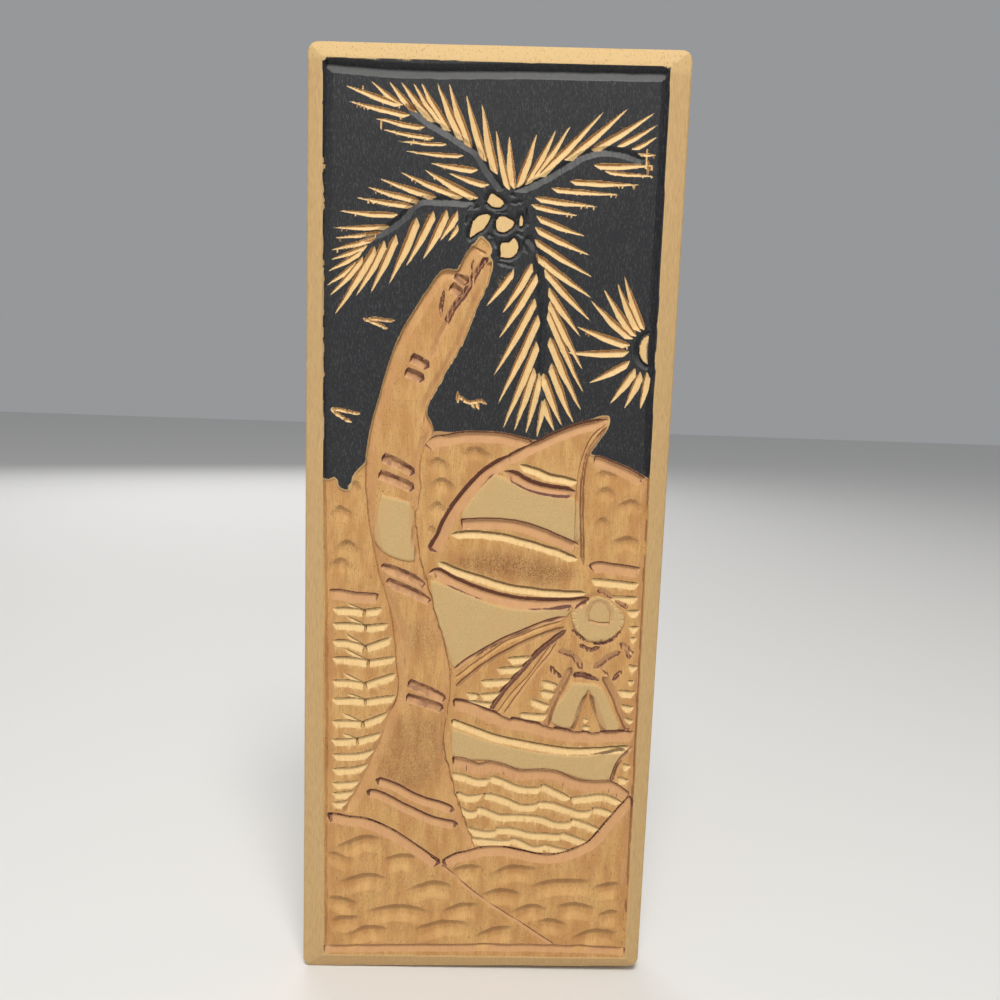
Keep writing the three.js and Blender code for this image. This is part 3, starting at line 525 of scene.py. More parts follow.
# Each row on the left: its left end, the start, the dip and the end of its second stroke
LEFT_ROWS = [
    (-23.8, (-43.4, -22), (-37.9, -24.2), (-32.1, -23.2)),
    (-28.9, (-43.6, -26.2), (-37.4, -29.3), (-30.1, -28.4)),
    (-34.6, (-43.8, -32), (-37.5, -36.1), (-29, -32.9)),
    (-40.3, (-44, -37.2), (-36.4, -40.9), (-27.5, -39.4)),
    (-47.9, (-44.4, -45.2), (-37.4, -48.4), (-27.4, -44.8)),
    (-53.9, (-43.2, -52), (-37.2, -53.9), (-27.4, -52.5)),
    (-61.6, (-44.6, -58.8), (-38, -61.7), (-29.2, -58)),
    (-67.9, (-44.4, -65.6), (-39.8, -67.5), (-31.3, -65)),
]
LOW_LEFT_ROWS = [
    [(-47.6, -72.9), (-43.2, -72.7), (-39.1, -72.5), (-33.2, -70.8)],
    [(-47.6, -78), (-43, -77.6), (-39.7, -77.1), (-35.2, -75.8)],
    [(-47.6, -82.9), (-42.4, -82.5), (-38, -81.9)], [(-47.6, -86.4), (-42, -85.9), (-39.6, -85.6)],
    [(-47.6, -89.8), (-41.6, -89)],
]
HORIZONS = [
    [(-49.2, -18.2), (-47.7, -17.9), (-39.8, -18.7), (-33.3, -18.8)],
    [(33.3, -7.6), (34.8, -6.8), (41.7, -6.9), (50, -7.8)],
]
SHORT_WAVES = [
    ((34.3, -11.6), (49.7, -12.8)), ((40.7, -17.4), (49.7, -17.3)), ((46.2, -21.9), (50.7, -21.8)),
    ((47.2, -27.1), (50.7, -27.3)), ((47.7, -30.7), (50.2, -31)), ((47.2, -35.2), (49.7, -35.7)),
    ((47.7, -39.9), (51.2, -40.7)), ((47.7, -45.2), (50.2, -45.4)), ((44.7, -48.6), (50.7, -49.1)),
    ((45.7, -53.5), (50.5, -54.3)), ((46.7, -57.8), (50.7, -59)), ((47.7, -73.7), (50.7, -74.7)),
    ((46.2, -78.2), (50.2, -79.5)), ((8.4, -38.7), (16.9, -37.9)), ((5, -42.2), (14.4, -41.4)),
    ((0, -46.6), (10.4, -45.7)), ((0, -51.1), (7.4, -50.3)), ((-4.5, -50.8), (0, -51.3)),
    ((-4.5, -53.5), (4.5, -54.1)), ((19.9, -45.9), (25.3, -47.4)), ((19.4, -49.3), (24.8, -50.3)),
    ((16.4, -52.3), (23.3, -54.6)), ((12.9, -57.3), (23.3, -57.6)), ((33.8, -58.3), (35.8, -58.8)),
    ((33.6, -60.8), (36.5, -61.3)),
]

# Figure seen from behind: a broad hat, bent arms with the hands at the hips, wide trousers
HAT = [
    (28.4, -23.4), (29, -26.2), (30.7, -29.2), (32.8, -31.2), (34.8, -32.2), (37.7, -32.1), (40.4, -31.7),
    (42.8, -30.1), (44.7, -28), (45.8, -25.2), (45.5, -23.7), (43.3, -20.7), (41, -18.7), (38.5, -17.6),
    (36.5, -17.2), (33.4, -18.8), (30.7, -20.2),
]
HAT_CENTRE = (37.2, -25)
CROWN_EDGE = [
    (41, -25.8), (41.1, -22.6), (39.4, -19.9), (37, -19.2), (34.8, -20.4), (33.7, -23), (33.9, -25.2),
]
CROWN_BAND = [(33.9, -25.2), (37.4, -25.9), (41, -25.8)]
HAT_UNDER = [
    [(28.7, -28.2), (31.2, -30.4), (33.8, -32.3)],
    [(35.5, -32.9), (40, -32.4), (43.3, -30.5), (44.9, -28.2)],
]
HAT_TOP = [(36.2, -15.6), (38.4, -16.1), (41.4, -18), (44, -19.7), (46.5, -21.1)]
FIGURE_CUTS = [
    ([(26.9, -22.4), (28.8, -21.1), (31, -19.8)], LINE),
    ([(24.6, -36), (26.8, -36.2), (29.6, -37.6), (31.2, -39.4), (32.8, -41.9)], TORN_LINE),
    ([(36.6, -41.5), (38.9, -39.7), (42, -37.3), (45.2, -35.7)], TORN_LINE),
    ([(31.4, -33.2), (35.2, -35), (38.6, -33.8)], LINE),
    ([(39, -41.7), (40.4, -42.7), (41.8, -44.2)], THIN),
    ([(42.6, -45.5), (44.2, -43.6), (45.7, -41.5)], LINE),
    ([(22.3, -40.7), (23.3, -42.2), (26.4, -44.9)], LINE),
    ([(44.3, -32.8), (46, -33.6), (47.6, -35.3), (48, -38)], (1.2, 1.2, 0.8)),
]
BELT = [(29.9, -43.9), (31.9, -43.7), (35.4, -44.5), (39.1, -45.4)]
TROUSERS_LEFT = [(22, -61.4), (23.4, -55.6), (25.2, -50.8), (27.9, -45.1), (29.5, -41)]
TROUSERS_RIGHT = [(39.5, -44), (41.2, -46.6), (43.8, -51.5), (45.6, -56.2), (48.6, -62.3)]
INSIDE_LEGS = [
    [(30.8, -62.6), (32, -58.5), (33.3, -53.7), (35.2, -49.6)],
    [(35.4, -49.8), (36.5, -52.9), (38.1, -57.1), (40.4, -62.4)],
]
TROUSERS = [
    (29.8, -46.6), (39, -47.6), (43, -55), (45.6, -61.9), (41.6, -62.2), (35.2, -48.4), (29.8, -61.6),
    (24, -60),
]

# Dunes
SHORE_LEFT = [
    (-49.2, -94.6), (-47.7, -94.1), (-41.7, -94.9), (-37.8, -95.1), (-33.8, -96.3), (-27.8, -99),
    (-21.9, -102.8), (-15.9, -107), (-11.4, -110),
]
SHORE_RIGHT = [
    (-10.9, -109.8), (-6, -107), (-2, -106), (2, -104.7), (7.9, -104.2), (15.9, -105.5), (21.8, -106.6),
    (27.8, -106.3), (33.8, -104), (38.2, -101.5), (41.7, -97), (47.7, -89.1), (51, -85.1),
]
DUNE_LINE = [(-10.9, -110.5), (-7, -113.9), (-2, -118.4), (4, -122.9), (15.9, -130.8), (28.3, -139)]
# Gouge strokes: the left end, the top and the right end of each arch
SCOOPS = [
    [(-47.7, -105.5), (-35.8, -100.3), (-29.8, -101.5)], [(-49.7, -108), (-46.7, -106.5), (-39.8, -108.8)],
    [(-30.8, -108.5), (-23.9, -106.8), (-18.9, -107.5)],
    [(-45.7, -117.4), (-34.8, -113.9), (-28.3, -115.4)], [(-22.9, -119.4), (-12.9, -116.2), (-6, -117.9)],
    [(-49.7, -123.4), (-46.7, -122.4), (-37.8, -124.9)],
    [(-36.8, -127.3), (-23.9, -124.9), (-13.9, -126.8)], [(-10.9, -126.8), (-3, -123.9), (2, -123.9)],
    [(-48.7, -131.3), (-43.7, -129.5), (-37.8, -129.3)],
    [(-43.7, -136.3), (-33.8, -132.6), (-27.8, -133.8)], [(-20.9, -133.8), (-8, -130), (0, -131.3)],
    [(0, -135.8), (7.9, -132.3), (13.9, -131.8)], [(-8, -111.9), (0, -110), (3, -110.9)],
    [(4, -113.9), (11.9, -110), (21.8, -110.9)], [(2, -120.4), (8.9, -118.4), (16.9, -119.9)],
    [(17.9, -117.4), (25.8, -114.9), (39.7, -114.4)], [(11.9, -126.8), (19.9, -123.9), (25.8, -125.4)],
    [(27.8, -123.9), (33.8, -122.9), (41.7, -124.4)], [(20.9, -129.3), (26.8, -128.8), (32.8, -131.3)],
    [(41.7, -127.3), (46.7, -125.4), (49.7, -125.9)], [(32.8, -135.8), (41.7, -132.3), (49.7, -133.3)],
    [(39.7, -116.9), (47.7, -115.4), (49.7, -115.9)],
]


def strips(carving):
    """The chamfered strips along the four edges. Returns 1 on them and 0 on the carved field."""
    corners = [STRIP_TOP_LEFT, STRIP_TOP_RIGHT, STRIP_BOTTOM_RIGHT, STRIP_BOTTOM_LEFT]
    half_x, half_z = WIDTH / 2, HEIGHT / 2
    rectangle = ((-half_x, half_z), (half_x, half_z), (half_x, -half_z), (-half_x, -half_z))
    edges = [(x, z + lean(x)) for x, z in rectangle]
    outside = np.full_like(carving.x, -1.0)
    for k in range(4):
        (ax, az), (bx, bz) = corners[k], corners[(k + 1) % 4]
        length = math.dist((ax, az), (bx, bz))
        out_x, out_z = (az - bz) / length, (bx - ax) / length
        gaps = [np.subtract(edges[j % 4], corners[j % 4]) for j in (k, k + 1)]
        widths = [gap[0] * out_x + gap[1] * out_z for gap in gaps]
        share = ((carving.x - ax) * (bx - ax) + (carving.z - az) * (bz - az)) / length**2
        width = widths[0] + (widths[1] - widths[0]) * np.clip(share, 0, 1)
        beyond = (carving.x - ax) * out_x + (carving.z - az) * out_z + 0.6 * carving.wobble
        outside = np.maximum(outside, beyond / width)
    share = np.clip(outside, 0, 1)
    fall = CHAMFER_DROP * share**1.15 + 0.06 * carving.noise(9, 30) * share
    carving.level -= fall + SIDE_ARRIS * ramp(outside, 0.93, 1.0)
    return ramp(outside, -0.01, 0.03)


def border_grooves(carving):
    """The grooves inside the strips, cut before the paint."""
    wall, slope, _ = BORDER
    (left_x, top_z), (right_x, top_right_z) = STRIP_TOP_LEFT, STRIP_TOP_RIGHT
    (low_right_x, low_right_z), (low_left_x, low_left_z) = STRIP_BOTTOM_RIGHT, STRIP_BOTTOM_LEFT
    top = [(left_x + 1, top_z - wall), (-30, 140.2), (0, 141.1), (right_x - 1, top_right_z - wall)]
    left = [(low_left_x + 1, low_left_z + slope), (-49.1, -90), (-49.2, -50), (-50.2, 10), (left_x + 1.1, 70),
            (left_x + 1.1, top_z - 1)]
    right = [(right_x - 0.9, top_right_z - 1), (49.6, 100), (49.7, 60), (50.6, 20), (51.2, -60),
             (low_right_x - 1, low_right_z + slope)]
    bottom = [(-50, -141.1), (-20, -140), (0, -139.5), (30, -139.2), (52.2, -139.7)]
    carving.cut(top, BORDER, (0.3, 0.3))
    carving.cut(left, LEFT_GROOVE, (0.3, 0.3), dye=0.35, splinter=0.1)
    carving.cut(right, RIGHT_GROOVE, (0.3, 0.3), dye=0.55, splinter=0.1)
    carving.cut(bottom, FOOT_GROOVE, (0.4, 0.4), dye=0.8)


def cuts_under_paint(carving):
    """The palm's ribs, the outlines of its nuts and the sun's ring, which the paint then filled."""
    for rib in RIBS:
        carving.cut(rib, RIB, (3, 1), splinter=0.12)
    carving.cut(DROOPING_RIB, WIDE_RIB, (1, 4), splinter=0.15)
    for nick in NICKS:
        carving.cut(nick, NICK, (1, 1), splinter=0.3)
    for nut in NUTS:
        carving.cut([*nut, nut[0]], NUT_GROOVE, (0.1, 0.1), splinter=0.08)
    angles = np.linspace(math.pi * 0.5, math.pi * 1.5, 9)
    reach_x, reach_z = SUN_DISC[0] + 0.5, SUN_DISC[1] + 0.6
    ring = [(SUN_CENTRE[0] + reach_x * math.cos(a), SUN_CENTRE[1] + reach_z * math.sin(a)) for a in angles]
    carving.cut(ring[::-1], SUN_GROOVE, (0.3, 0.3), splinter=0.2)


def sky_cuts(carving):
    """The leaves, the sun's rays, the tool's slips and the birds, cut through the paint."""
    for tip, root, width in LEAVES:
        carving.leaf(tip, root, width)
    for tip, root in RAYS:
        carving.leaf(tip, root, RAY_WIDTH)
    for high, low in SLIPS:
        carving.cut([high, low], SLIP, (0.4, 0.4), fresh=1.0, straight=True)
    for bird in BIRDS:
        carving.cut(bird, FEATHER, (1.2, 1.2), fresh=1.0, splinter=0.15)


def bare(carving, mask, depth):
    """Shaves the paint off the part in the mask."""
    carving.level = np.where(mask > 0, np.minimum(carving.level, -depth), carving.level)
    carving.fresh = np.maximum(carving.fresh, 0.7 * mask)


def bare_tops(carving):
    """Shaves the tops of the nuts and the visible part of the sun's disc."""
    for nut in NUTS:
        bare(carving, carving.inside(nut), SHAVED)
    across, up = (carving.x - SUN_CENTRE[0]) / SUN_DISC[0], (carving.z - SUN_CENTRE[1]) / SUN_DISC[1]
    disc = across**2 + up**2 < 1
    bare(carving, (disc & (carving.x < SUN_CENTRE[0])).astype(float), SHAVED)


def trunk_cuts(carving):
    """The trunk's edges and facets, the cuts at its top and its growth rings."""
    carving.cut(TRUNK_LEFT[::-1], FACET, (2, 1), dye=0.45, splinter=0.06)
    carving.cut(TRUNK_RIGHT, RIGHT_FACET, (1, 3), dye=0.45, splinter=0.35)
    carving.cut(TRUNK_CHANNEL, CHANNEL, (1, 1), dye=1.0, splinter=0.15)
    carving.cut(TRUNK_CHANNEL_FOOT, CHANNEL_FOOT, (2, 3), dye=0.55, splinter=0.1)
    carving.cut(TRUNK_SHADOW, SHADOW, (3, 3), dye=1.0)
    carving.cut(TRUNK_NOTCH, NOTCH, (0.5, 0.5), dye=0.4)
    carving.cut(TRUNK_CRACK, CRACK, (1, 1), dye=1.0)
    carving.cut(TRUNK_FACET, BROAD_FACET, (4, 9), dye=0.45, splinter=0.1)
    carving.cut(TRUNK_SHADED_SIDE[::-1], SHADED_FACET, (1, 4), dye=0.45)
    for ring in TRUNK_RINGS:
        carving.cut(ring, RING, (0.5, 1.2), dye=1.0)
    for ring in FOOT_RINGS:
        carving.cut(ring, FOOT_RING, (1.5, 2), dye=1.0)


def boat_cuts(carving):
    """The hills' outlines, the sail with its seams, the spars and the hull."""
    for hill in (HILL_MIDDLE, HILL_RIGHT):
        carving.cut(hill, SEAM, (0.5, 1), dye=0.9, splinter=0.06)
    carving.cut(HILL_MIDDLE[:4], HILL_WEDGE, (0.5, 8), dye=0.8)
    carving.cut(STAINED_SEAM, SEAM, (0.6, 1.5), dye=0.9)
    for wedge in STAINED_WEDGES:
        carving.cut(wedge, WEDGE, (4, 3), dye=1.0, splinter=0.06)
    carving.cut(SAIL_EDGE_HIGH, OUTLINE, (2, 4), dye=1.0)
    carving.cut(SAIL_EDGE_LOW, WEDGE, (1, 5), dye=1.0)
    carving.cut(MAST[::-1], LINE, (2, 3), dye=0.6, splinter=0.06)
    carving.cut(MAST_BACK, THIN, (2, 3), dye=0.4, splinter=0.06)
    carving.cut(WATERLINE, SEAM, (0.8, 1), dye=1.0, torn=0.3, splinter=0.1)
    carving.cut(BOW, LINE, (1, 1), dye=0.8)
    for seam in FRESH_SEAMS:
        carving.cut(seam, WIDE_WAVE, (2, 2), fresh=1.0)
    carving.cut(HULL_LINE, WIDE_WAVE, (1, 2), fresh=1.0)
    for spar, size, dye in SPARS:
        carving.cut(spar, size, (1, 2), dye=dye)
    for stroke in RAIL:
        carving.cut(stroke, RAIL_STROKE, (0.6, 3), dye=1.0)
    carving.cut([point for stroke in RAIL for point in stroke], SEAM, (1, 1), dye=0.9)


def water_cuts(carving):
    """The horizons and the waves on both sides of the trunk."""
    for horizon in HORIZONS:
        carving.cut(horizon, SEAM, (0.8, 1), dye=0.9)
    for left_z, start, dip, end in LEFT_ROWS:
        carving.cut([(-48, left_z), (start[0], left_z + 0.2), dip], WAVE, (1.6, 0.3), fresh=1.0)
        carving.cut([start, dip], THIN, (1.8, 0.3), fresh=1.0, straight=True)
        carving.cut([dip, end], WAVE, (0.3, 1.6), fresh=1.0, straight=True)
    for row in LOW_LEFT_ROWS:
        carving.cut(row, WAVE, (1.6, 1.6), fresh=1.0)
    for start, end in SHORT_WAVES:
        carving.cut([start, end], WAVE, (1.4, 1.4), fresh=1.0, straight=True)
    for wave in HULL_WAVES:
        carving.cut(wave, WAVE, (1.2, 1.8), fresh=1.0)


def figure_cuts(carving):
    """The figure: hat, arms, belt and trousers."""
    hat = carving.inside(HAT)
    around = carving.blurred(hat, 2.5) * (1 - hat)
    carving.level -= HAT_STANDS * np.clip(2 * around, 0, 1)
    carving.curled = np.maximum(carving.curled, 0.5 * np.clip(2 * around, 0, 1))
    carving.cut(CROWN_EDGE, CROWN_GROOVE, (0.5, 0.5), dye=0.45, splinter=0.08)
    carving.cut(CROWN_BAND, BAND, (0.4, 0.4), dye=0.6)
    for angle in np.linspace(0, 2 * math.pi, BRIM_MARKS, endpoint=False):
        out = np.array([BRIM_REACH[0] * math.cos(angle), BRIM_REACH[1] * math.sin(angle)])
        mark = [HAT_CENTRE + 0.8 * out, HAT_CENTRE + 1.04 * out]
        carving.cut(mark, BRIM_MARK, (1, 0.2), fresh=0.6, straight=True)
    carving.cut(HAT_TOP, TORN_LINE, (1, 1), dye=1.0, splinter=0.3)
    for under in HAT_UNDER:
        carving.cut(under, LINE, (1, 1), dye=1.0, splinter=0.1)
    for line, size in FIGURE_CUTS:
        carving.cut(line, size, (1.2, 1.2), dye=0.85, splinter=0.2)
    carving.cut(BELT, BELT_CUT, (0.8, 4), dye=1.0, splinter=0.1)
    carving.cut(TROUSERS_LEFT, LEFT_LEG, (0.5, 1.5), dye=0.65, splinter=0.06)
    carving.cut(TROUSERS_RIGHT, RIGHT_LEG, (1.5, 0.5), dye=0.7, splinter=0.1)
    carving.cut(INSIDE_LEGS[0], INNER_LEFT_LEG, (0.4, 2), dye=0.55)
    carving.cut(INSIDE_LEGS[1], INNER_RIGHT_LEG, (2, 0.4), dye=0.55)


def dune_cuts(carving):
    """Gouge strokes over the dunes, and the dunes' outlines."""
    for arch in SCOOPS:
        carving.scoop(arch, *DUNE_STROKE)
    carving.cut(SHORE_LEFT, OUTLINE, (0.6, 1), dye=1.0)
    carving.cut(SHORE_RIGHT, OUTLINE, (1, 0.6), dye=0.85)
    carving.cut(DUNE_LINE, THIN, (1, 2), dye=0.9)


def carve():
    """Makes every cut in its order and returns the finished carving."""
    carving = Carving()
    carving.strip = strips(carving)
    field = 1 - carving.strip
    carving.base = carving.level.copy()
    border_grooves(carving)
    cuts_under_paint(carving)
    painted = carving.level.copy()

    below_sky = [*HILL_LEFT, *HILL_MIDDLE, (24, 31), *HILL_RIGHT, (52.5, 20), (60, -160), (-60, -160)]
    sail = carving.inside([*SAIL_EDGE_LOW, *SAIL_EDGE_HIGH[1:], *MAST[::-1], (30, -20), (-16, -14)])
    trunk = carving.inside([*TRUNK_LEFT, *TRUNK_RIGHT[::-1]])
    land = np.maximum.reduce([carving.inside(below_sky), sail, trunk, carving.inside(TRUNK_TOP)]) * field
    panels = (UPPER_PANEL, LOWER_PANEL, HULL_PANEL, TROUSERS, TRUNK_PLANED, HAT)
    planed = np.maximum.reduce([carving.inside(panel) for panel in panels])
    dunes = carving.inside([*SHORE_LEFT, *SHORE_RIGHT, (60, -160), (-60, -160)])
    rough = carving.blurred(np.clip(land - planed, 0, 1), 0.5) * field
    uneven = 0.42 + 0.10 * carving.noise(5, 8) + 0.05 * carving.noise(1.5, 3)
    carving.level -= rough * uneven * (1 - 0.6 * dunes)
    carving.base = carving.level.copy()

    sky_cuts(carving)
    bare_tops(carving)
    dune_cuts(carving)
    for arch in HILL_SCOOPS:
        carving.scoop(arch, *HILL_STROKE, curled=0.9)
    trunk_cuts(carving)
    boat_cuts(carving)
    water_cuts(carving)
    figure_cuts(carving)

    carving.bared = np.where(land > 0.5, 1.0, painted - carving.level)
    carving.bared = np.where(carving.strip > 0.5, 1.0, carving.bared)
    carving.worked = rough * (1 - 0.25 * dunes)
    for outline, strength in PORE_BANDS:
        carving.curled = np.maximum(carving.curled, strength * carving.inside(outline, 2.0))
    carving.curled = carving.curled * field * (1 - carving.fresh)
    spread = carving.blurred(carving.dye, 1.1)
    carving.dye = np.maximum(carving.dye, 0.7 * spread) * (1 - carving.fresh) * field
    return carving


def rounded_corners(x, flat_z):
    """Rounds the rectangle's four corners by mapping each corner square onto a quarter disc."""
    inner_x, inner_z = WIDTH / 2 - CORNER_ROUND, HEIGHT / 2 - CORNER_ROUND
    p = np.clip(np.abs(x) - inner_x, 0, None) / CORNER_ROUND
    q = np.clip(np.abs(flat_z) - inner_z, 0, None) / CORNER_ROUND
    round_x = np.sign(x) * (inner_x + CORNER_ROUND * p * np.sqrt(1 - q * q / 2))
    round_z = np.sign(flat_z) * (inner_z + CORNER_ROUND * q * np.sqrt(1 - p * p / 2))
    return np.where(p > 0, round_x, x), np.where(q > 0, round_z, flat_z)


def mesh_from(points, polygons):
    """A mesh from an array of points and a list of arrays of polygons, in millimetres."""
    corners = np.concatenate([group.ravel() for group in polygons]).astype(np.int32)
    sizes = np.concatenate([np.full(len(group), group.shape[1], np.int32) for group in polygons])
    made = bpy.data.meshes.new("board")
    made.vertices.add(len(points))
    made.vertices.foreach_set("co", (points * MM).astype(np.float32).ravel())
    made.loops.add(len(corners))
    made.loops.foreach_set("vertex_index", corners)
    made.polygons.add(len(sizes))
    made.polygons.foreach_set("loop_start", (np.cumsum(sizes) - sizes).astype(np.int32))
    made.update(calc_edges=True)
    return made


def board_mesh(carving):
    """The carved front, the four sides and the back as one closed mesh."""
    x, flat_z = rounded_corners(carving.x, carving.flat_z)
    front = np.stack([x, -THICKNESS - carving.level, flat_z + lean(x)], -1).reshape(-1, 3)
    high, wide = carving.x.shape
    index = np.arange(high * wide).reshape(high, wide)
    quads = np.stack([index[:-1, :-1], index[:-1, 1:], index[1:, 1:], index[1:, :-1]], -1).reshape(-1, 4)
    ring = np.concatenate([index[0, :-1], index[:-1, -1], index[-1, :0:-1], index[:0:-1, 0]])
    edge = front[ring]
    points, polygons = [front], [quads]
    count = len(front)
    for depth, inset in SIDE_LOOPS:
        loop = edge * [1 - inset / (WIDTH / 2), 1 - depth, 1 - inset / (HEIGHT / 2)]
        now = count + np.arange(len(ring))
        polygons.append(np.stack([ring, now, np.roll(now, -1), np.roll(ring, -1)], -1))
        points.append(loop)
        count += len(ring)
        ring = now
    polygons.append(ring[None, ::-1])
    return mesh_from(np.concatenate(points), polygons)


def decimated(obj, triangles):
    """Replaces an object's mesh by one of about that many triangles."""
    modifier = obj.modifiers.new("reduce", "DECIMATE")
    faces = 2 * len(obj.data.vertices)
    modifier.ratio = min(1.0, triangles / faces)
    evaluated = obj.evaluated_get(bpy.context.evaluated_depsgraph_get())
    made = bpy.data.meshes.new_from_object(evaluated)
    obj.modifiers.remove(modifier)
    old = obj.data
    obj.data = made
    bpy.data.meshes.remove(old)


def sampled(carving, values, x, z):
    """Values of a grid array at given points."""
    place_x = np.clip((x + WIDTH / 2) / WIDTH, 0, 1) * (len(carving.columns) - 1)
    place_z = np.clip((z - lean(x) + HEIGHT / 2) / HEIGHT, 0, 1) * (len(carving.rows) - 1)
    i = np.minimum(place_x.astype(int), len(carving.columns) - 2)
    j = np.minimum(place_z.astype(int), len(carving.rows) - 2)
    s, t = place_x - i, place_z - j
    low = values[j, i] * (1 - s) + values[j, i + 1] * s
    high = values[j + 1, i] * (1 - s) + values[j + 1, i + 1] * s
    return low * (1 - t) + high * t


def add_attributes(mesh, carving):
    """Stores on each vertex what was done to the wood there."""
    points = np.empty(3 * len(mesh.vertices), np.float32)
    mesh.vertices.foreach_get("co", points)
    x, _, z = points.reshape(-1, 3).T / MM
    for name in ("bared", "dye", "fresh", "worked", "curled", "strip"):
        values = sampled(carving, getattr(carving, name), x, z).astype(np.float32)
        mesh.attributes.new(name, "FLOAT", "POINT").data.foreach_set("value", values)


def add_bake_map(mesh):
    """Lays out the map that a baked texture uses: the front large, the back and the four sides beside it."""
    count = len(mesh.loops)
    vertex = np.empty(count, np.int32)
    mesh.loops.foreach_get("vertex_index", vertex)
    points = np.empty(3 * len(mesh.vertices), np.float32)
    mesh.vertices.foreach_get("co", points)
    x, y, z = points.reshape(-1, 3)[vertex].T / MM
    normals = np.empty(3 * len(mesh.polygons), np.float32)
    mesh.polygons.foreach_get("normal", normals)
    sizes = np.empty(len(mesh.polygons), np.int32)
    mesh.polygons.foreach_get("loop_total", sizes)
    middles = np.empty(3 * len(mesh.polygons), np.float32)
    mesh.polygons.foreach_get("center", middles)
    normal_x, normal_y, normal_z = np.repeat(normals.reshape(-1, 3), sizes, axis=0).T
    middle_y = np.repeat(middles.reshape(-1, 3)[:, 1], sizes) / MM
    across = (x + WIDTH / 2) / WIDTH
    up = (z - LOW[2]) / (HIGH[2] - LOW[2])
    deep = np.clip(-y / THICKNESS, 0, 1)
    at_side = middle_y > -THICKNESS + CHAMFER_DROP + SIDE_ARRIS + 0.02
    back = (middle_y > -0.6) & (normal_y > 0.8)
    upright = np.abs(normal_x) > np.abs(normal_z)
    # Each patch: its loops, what runs along u and v, and its ranges of u and v
    patches = [
        (~at_side, across, up, (0.004, 0.716), (0.004, 0.996)),
        (at_side & back, across, up, (0.724, 0.880), (0.004, 0.996)),
        (at_side & ~back & upright & (normal_x < 0), deep, up, (0.885, 0.920), (0.004, 0.996)),
        (at_side & ~back & upright & (normal_x > 0), deep, up, (0.925, 0.960), (0.004, 0.996)),
        (at_side & ~back & ~upright & (normal_z > 0), deep, across, (0.965, 0.996), (0.504, 0.996)),
        (at_side & ~back & ~upright & (normal_z < 0), deep, across, (0.965, 0.996), (0.004, 0.496)),
    ]
    u, v = np.zeros(count), np.zeros(count)
    for chosen, along_u, along_v, (u0, u1), (v0, v1) in patches:
        u = np.where(chosen, u0 + (u1 - u0) * along_u, u)
        v = np.where(chosen, v0 + (v1 - v0) * along_v, v)
    layer = mesh.uv_layers.new(name="OFBake")
    layer.uv.foreach_set("vector", np.stack([u, v], -1).astype(np.float32).ravel())


def linear(red, green, blue):
    """A colour given as it is seen, from 0 to 255, as the linear values that a shader takes."""
    return tuple(((c / 255 + 0.055) / 1.055) ** 2.4 for c in (red, green, blue)) + (1.0,)


class Shader:
    """Short names for the nodes of one material."""

    def __init__(self, name):
        self.material = bpy.data.materials.new(name)
        self.material.use_nodes = True
        self.tree = self.material.node_tree
        self.tree.nodes.clear()
        self.place = self.tree.nodes.new("ShaderNodeTexCoord").outputs["Object"]

    def node(self, kind, inputs=(), **settings):
        """Adds a node; each input is a value or another node's output."""
        made = self.tree.nodes.new(kind)
        for key, value in settings.items():
            setattr(made, key, value)
        for key, value in dict(inputs).items():
            if isinstance(value, bpy.types.NodeSocket):
                self.tree.links.new(value, made.inputs[key])
            else:
                made.inputs[key].default_value = value
        return made

    def math(self, operation, a, b=0.0):
        """The result of one sum on one or two values."""
        return self.node("ShaderNodeMath", {0: a, 1: b}, operation=operation).outputs[0]

    def attribute(self, name):
        """One of the values stored on the mesh."""
        return self.node("ShaderNodeAttribute", attribute_name=name).outputs["Fac"]

    def noise(self, cell, detail=2.0, roughness=0.5, offset=0.0, distortion=0.0):
        """Noise whose cells have these sizes in millimetres along x, y and z."""
        scale = tuple(1 / (MM * c) for c in cell)
        inputs = {"Vector": self.place, "Location": (offset,) * 3, "Scale": scale}
        mapping = self.node("ShaderNodeMapping", inputs)
        shape = {"Scale": 1.0, "Detail": detail, "Roughness": roughness, "Distortion": distortion}
        return self.node("ShaderNodeTexNoise", {"Vector": mapping.outputs[0], **shape}).outputs["Fac"]

    def span(self, value, low, high, to_low=0.0, to_high=1.0):
        """Maps low..high smoothly onto to_low..to_high, clamped."""
        inputs = {"Value": value, "From Min": low, "From Max": high, "To Min": to_low, "To Max": to_high}
        return self.node("ShaderNodeMapRange", inputs, interpolation_type="SMOOTHSTEP").outputs[0]

    def mix(self, share, a, b):
        """The colour a, with the given share of the colour b."""
        made = self.node("ShaderNodeMix", {"Factor": share}, data_type="RGBA")
        for socket, value in ((6, a), (7, b)):
            if isinstance(value, bpy.types.NodeSocket):
                self.tree.links.new(value, made.inputs[socket])
            else:
                made.inputs[socket].default_value = value
        return made.outputs[2]


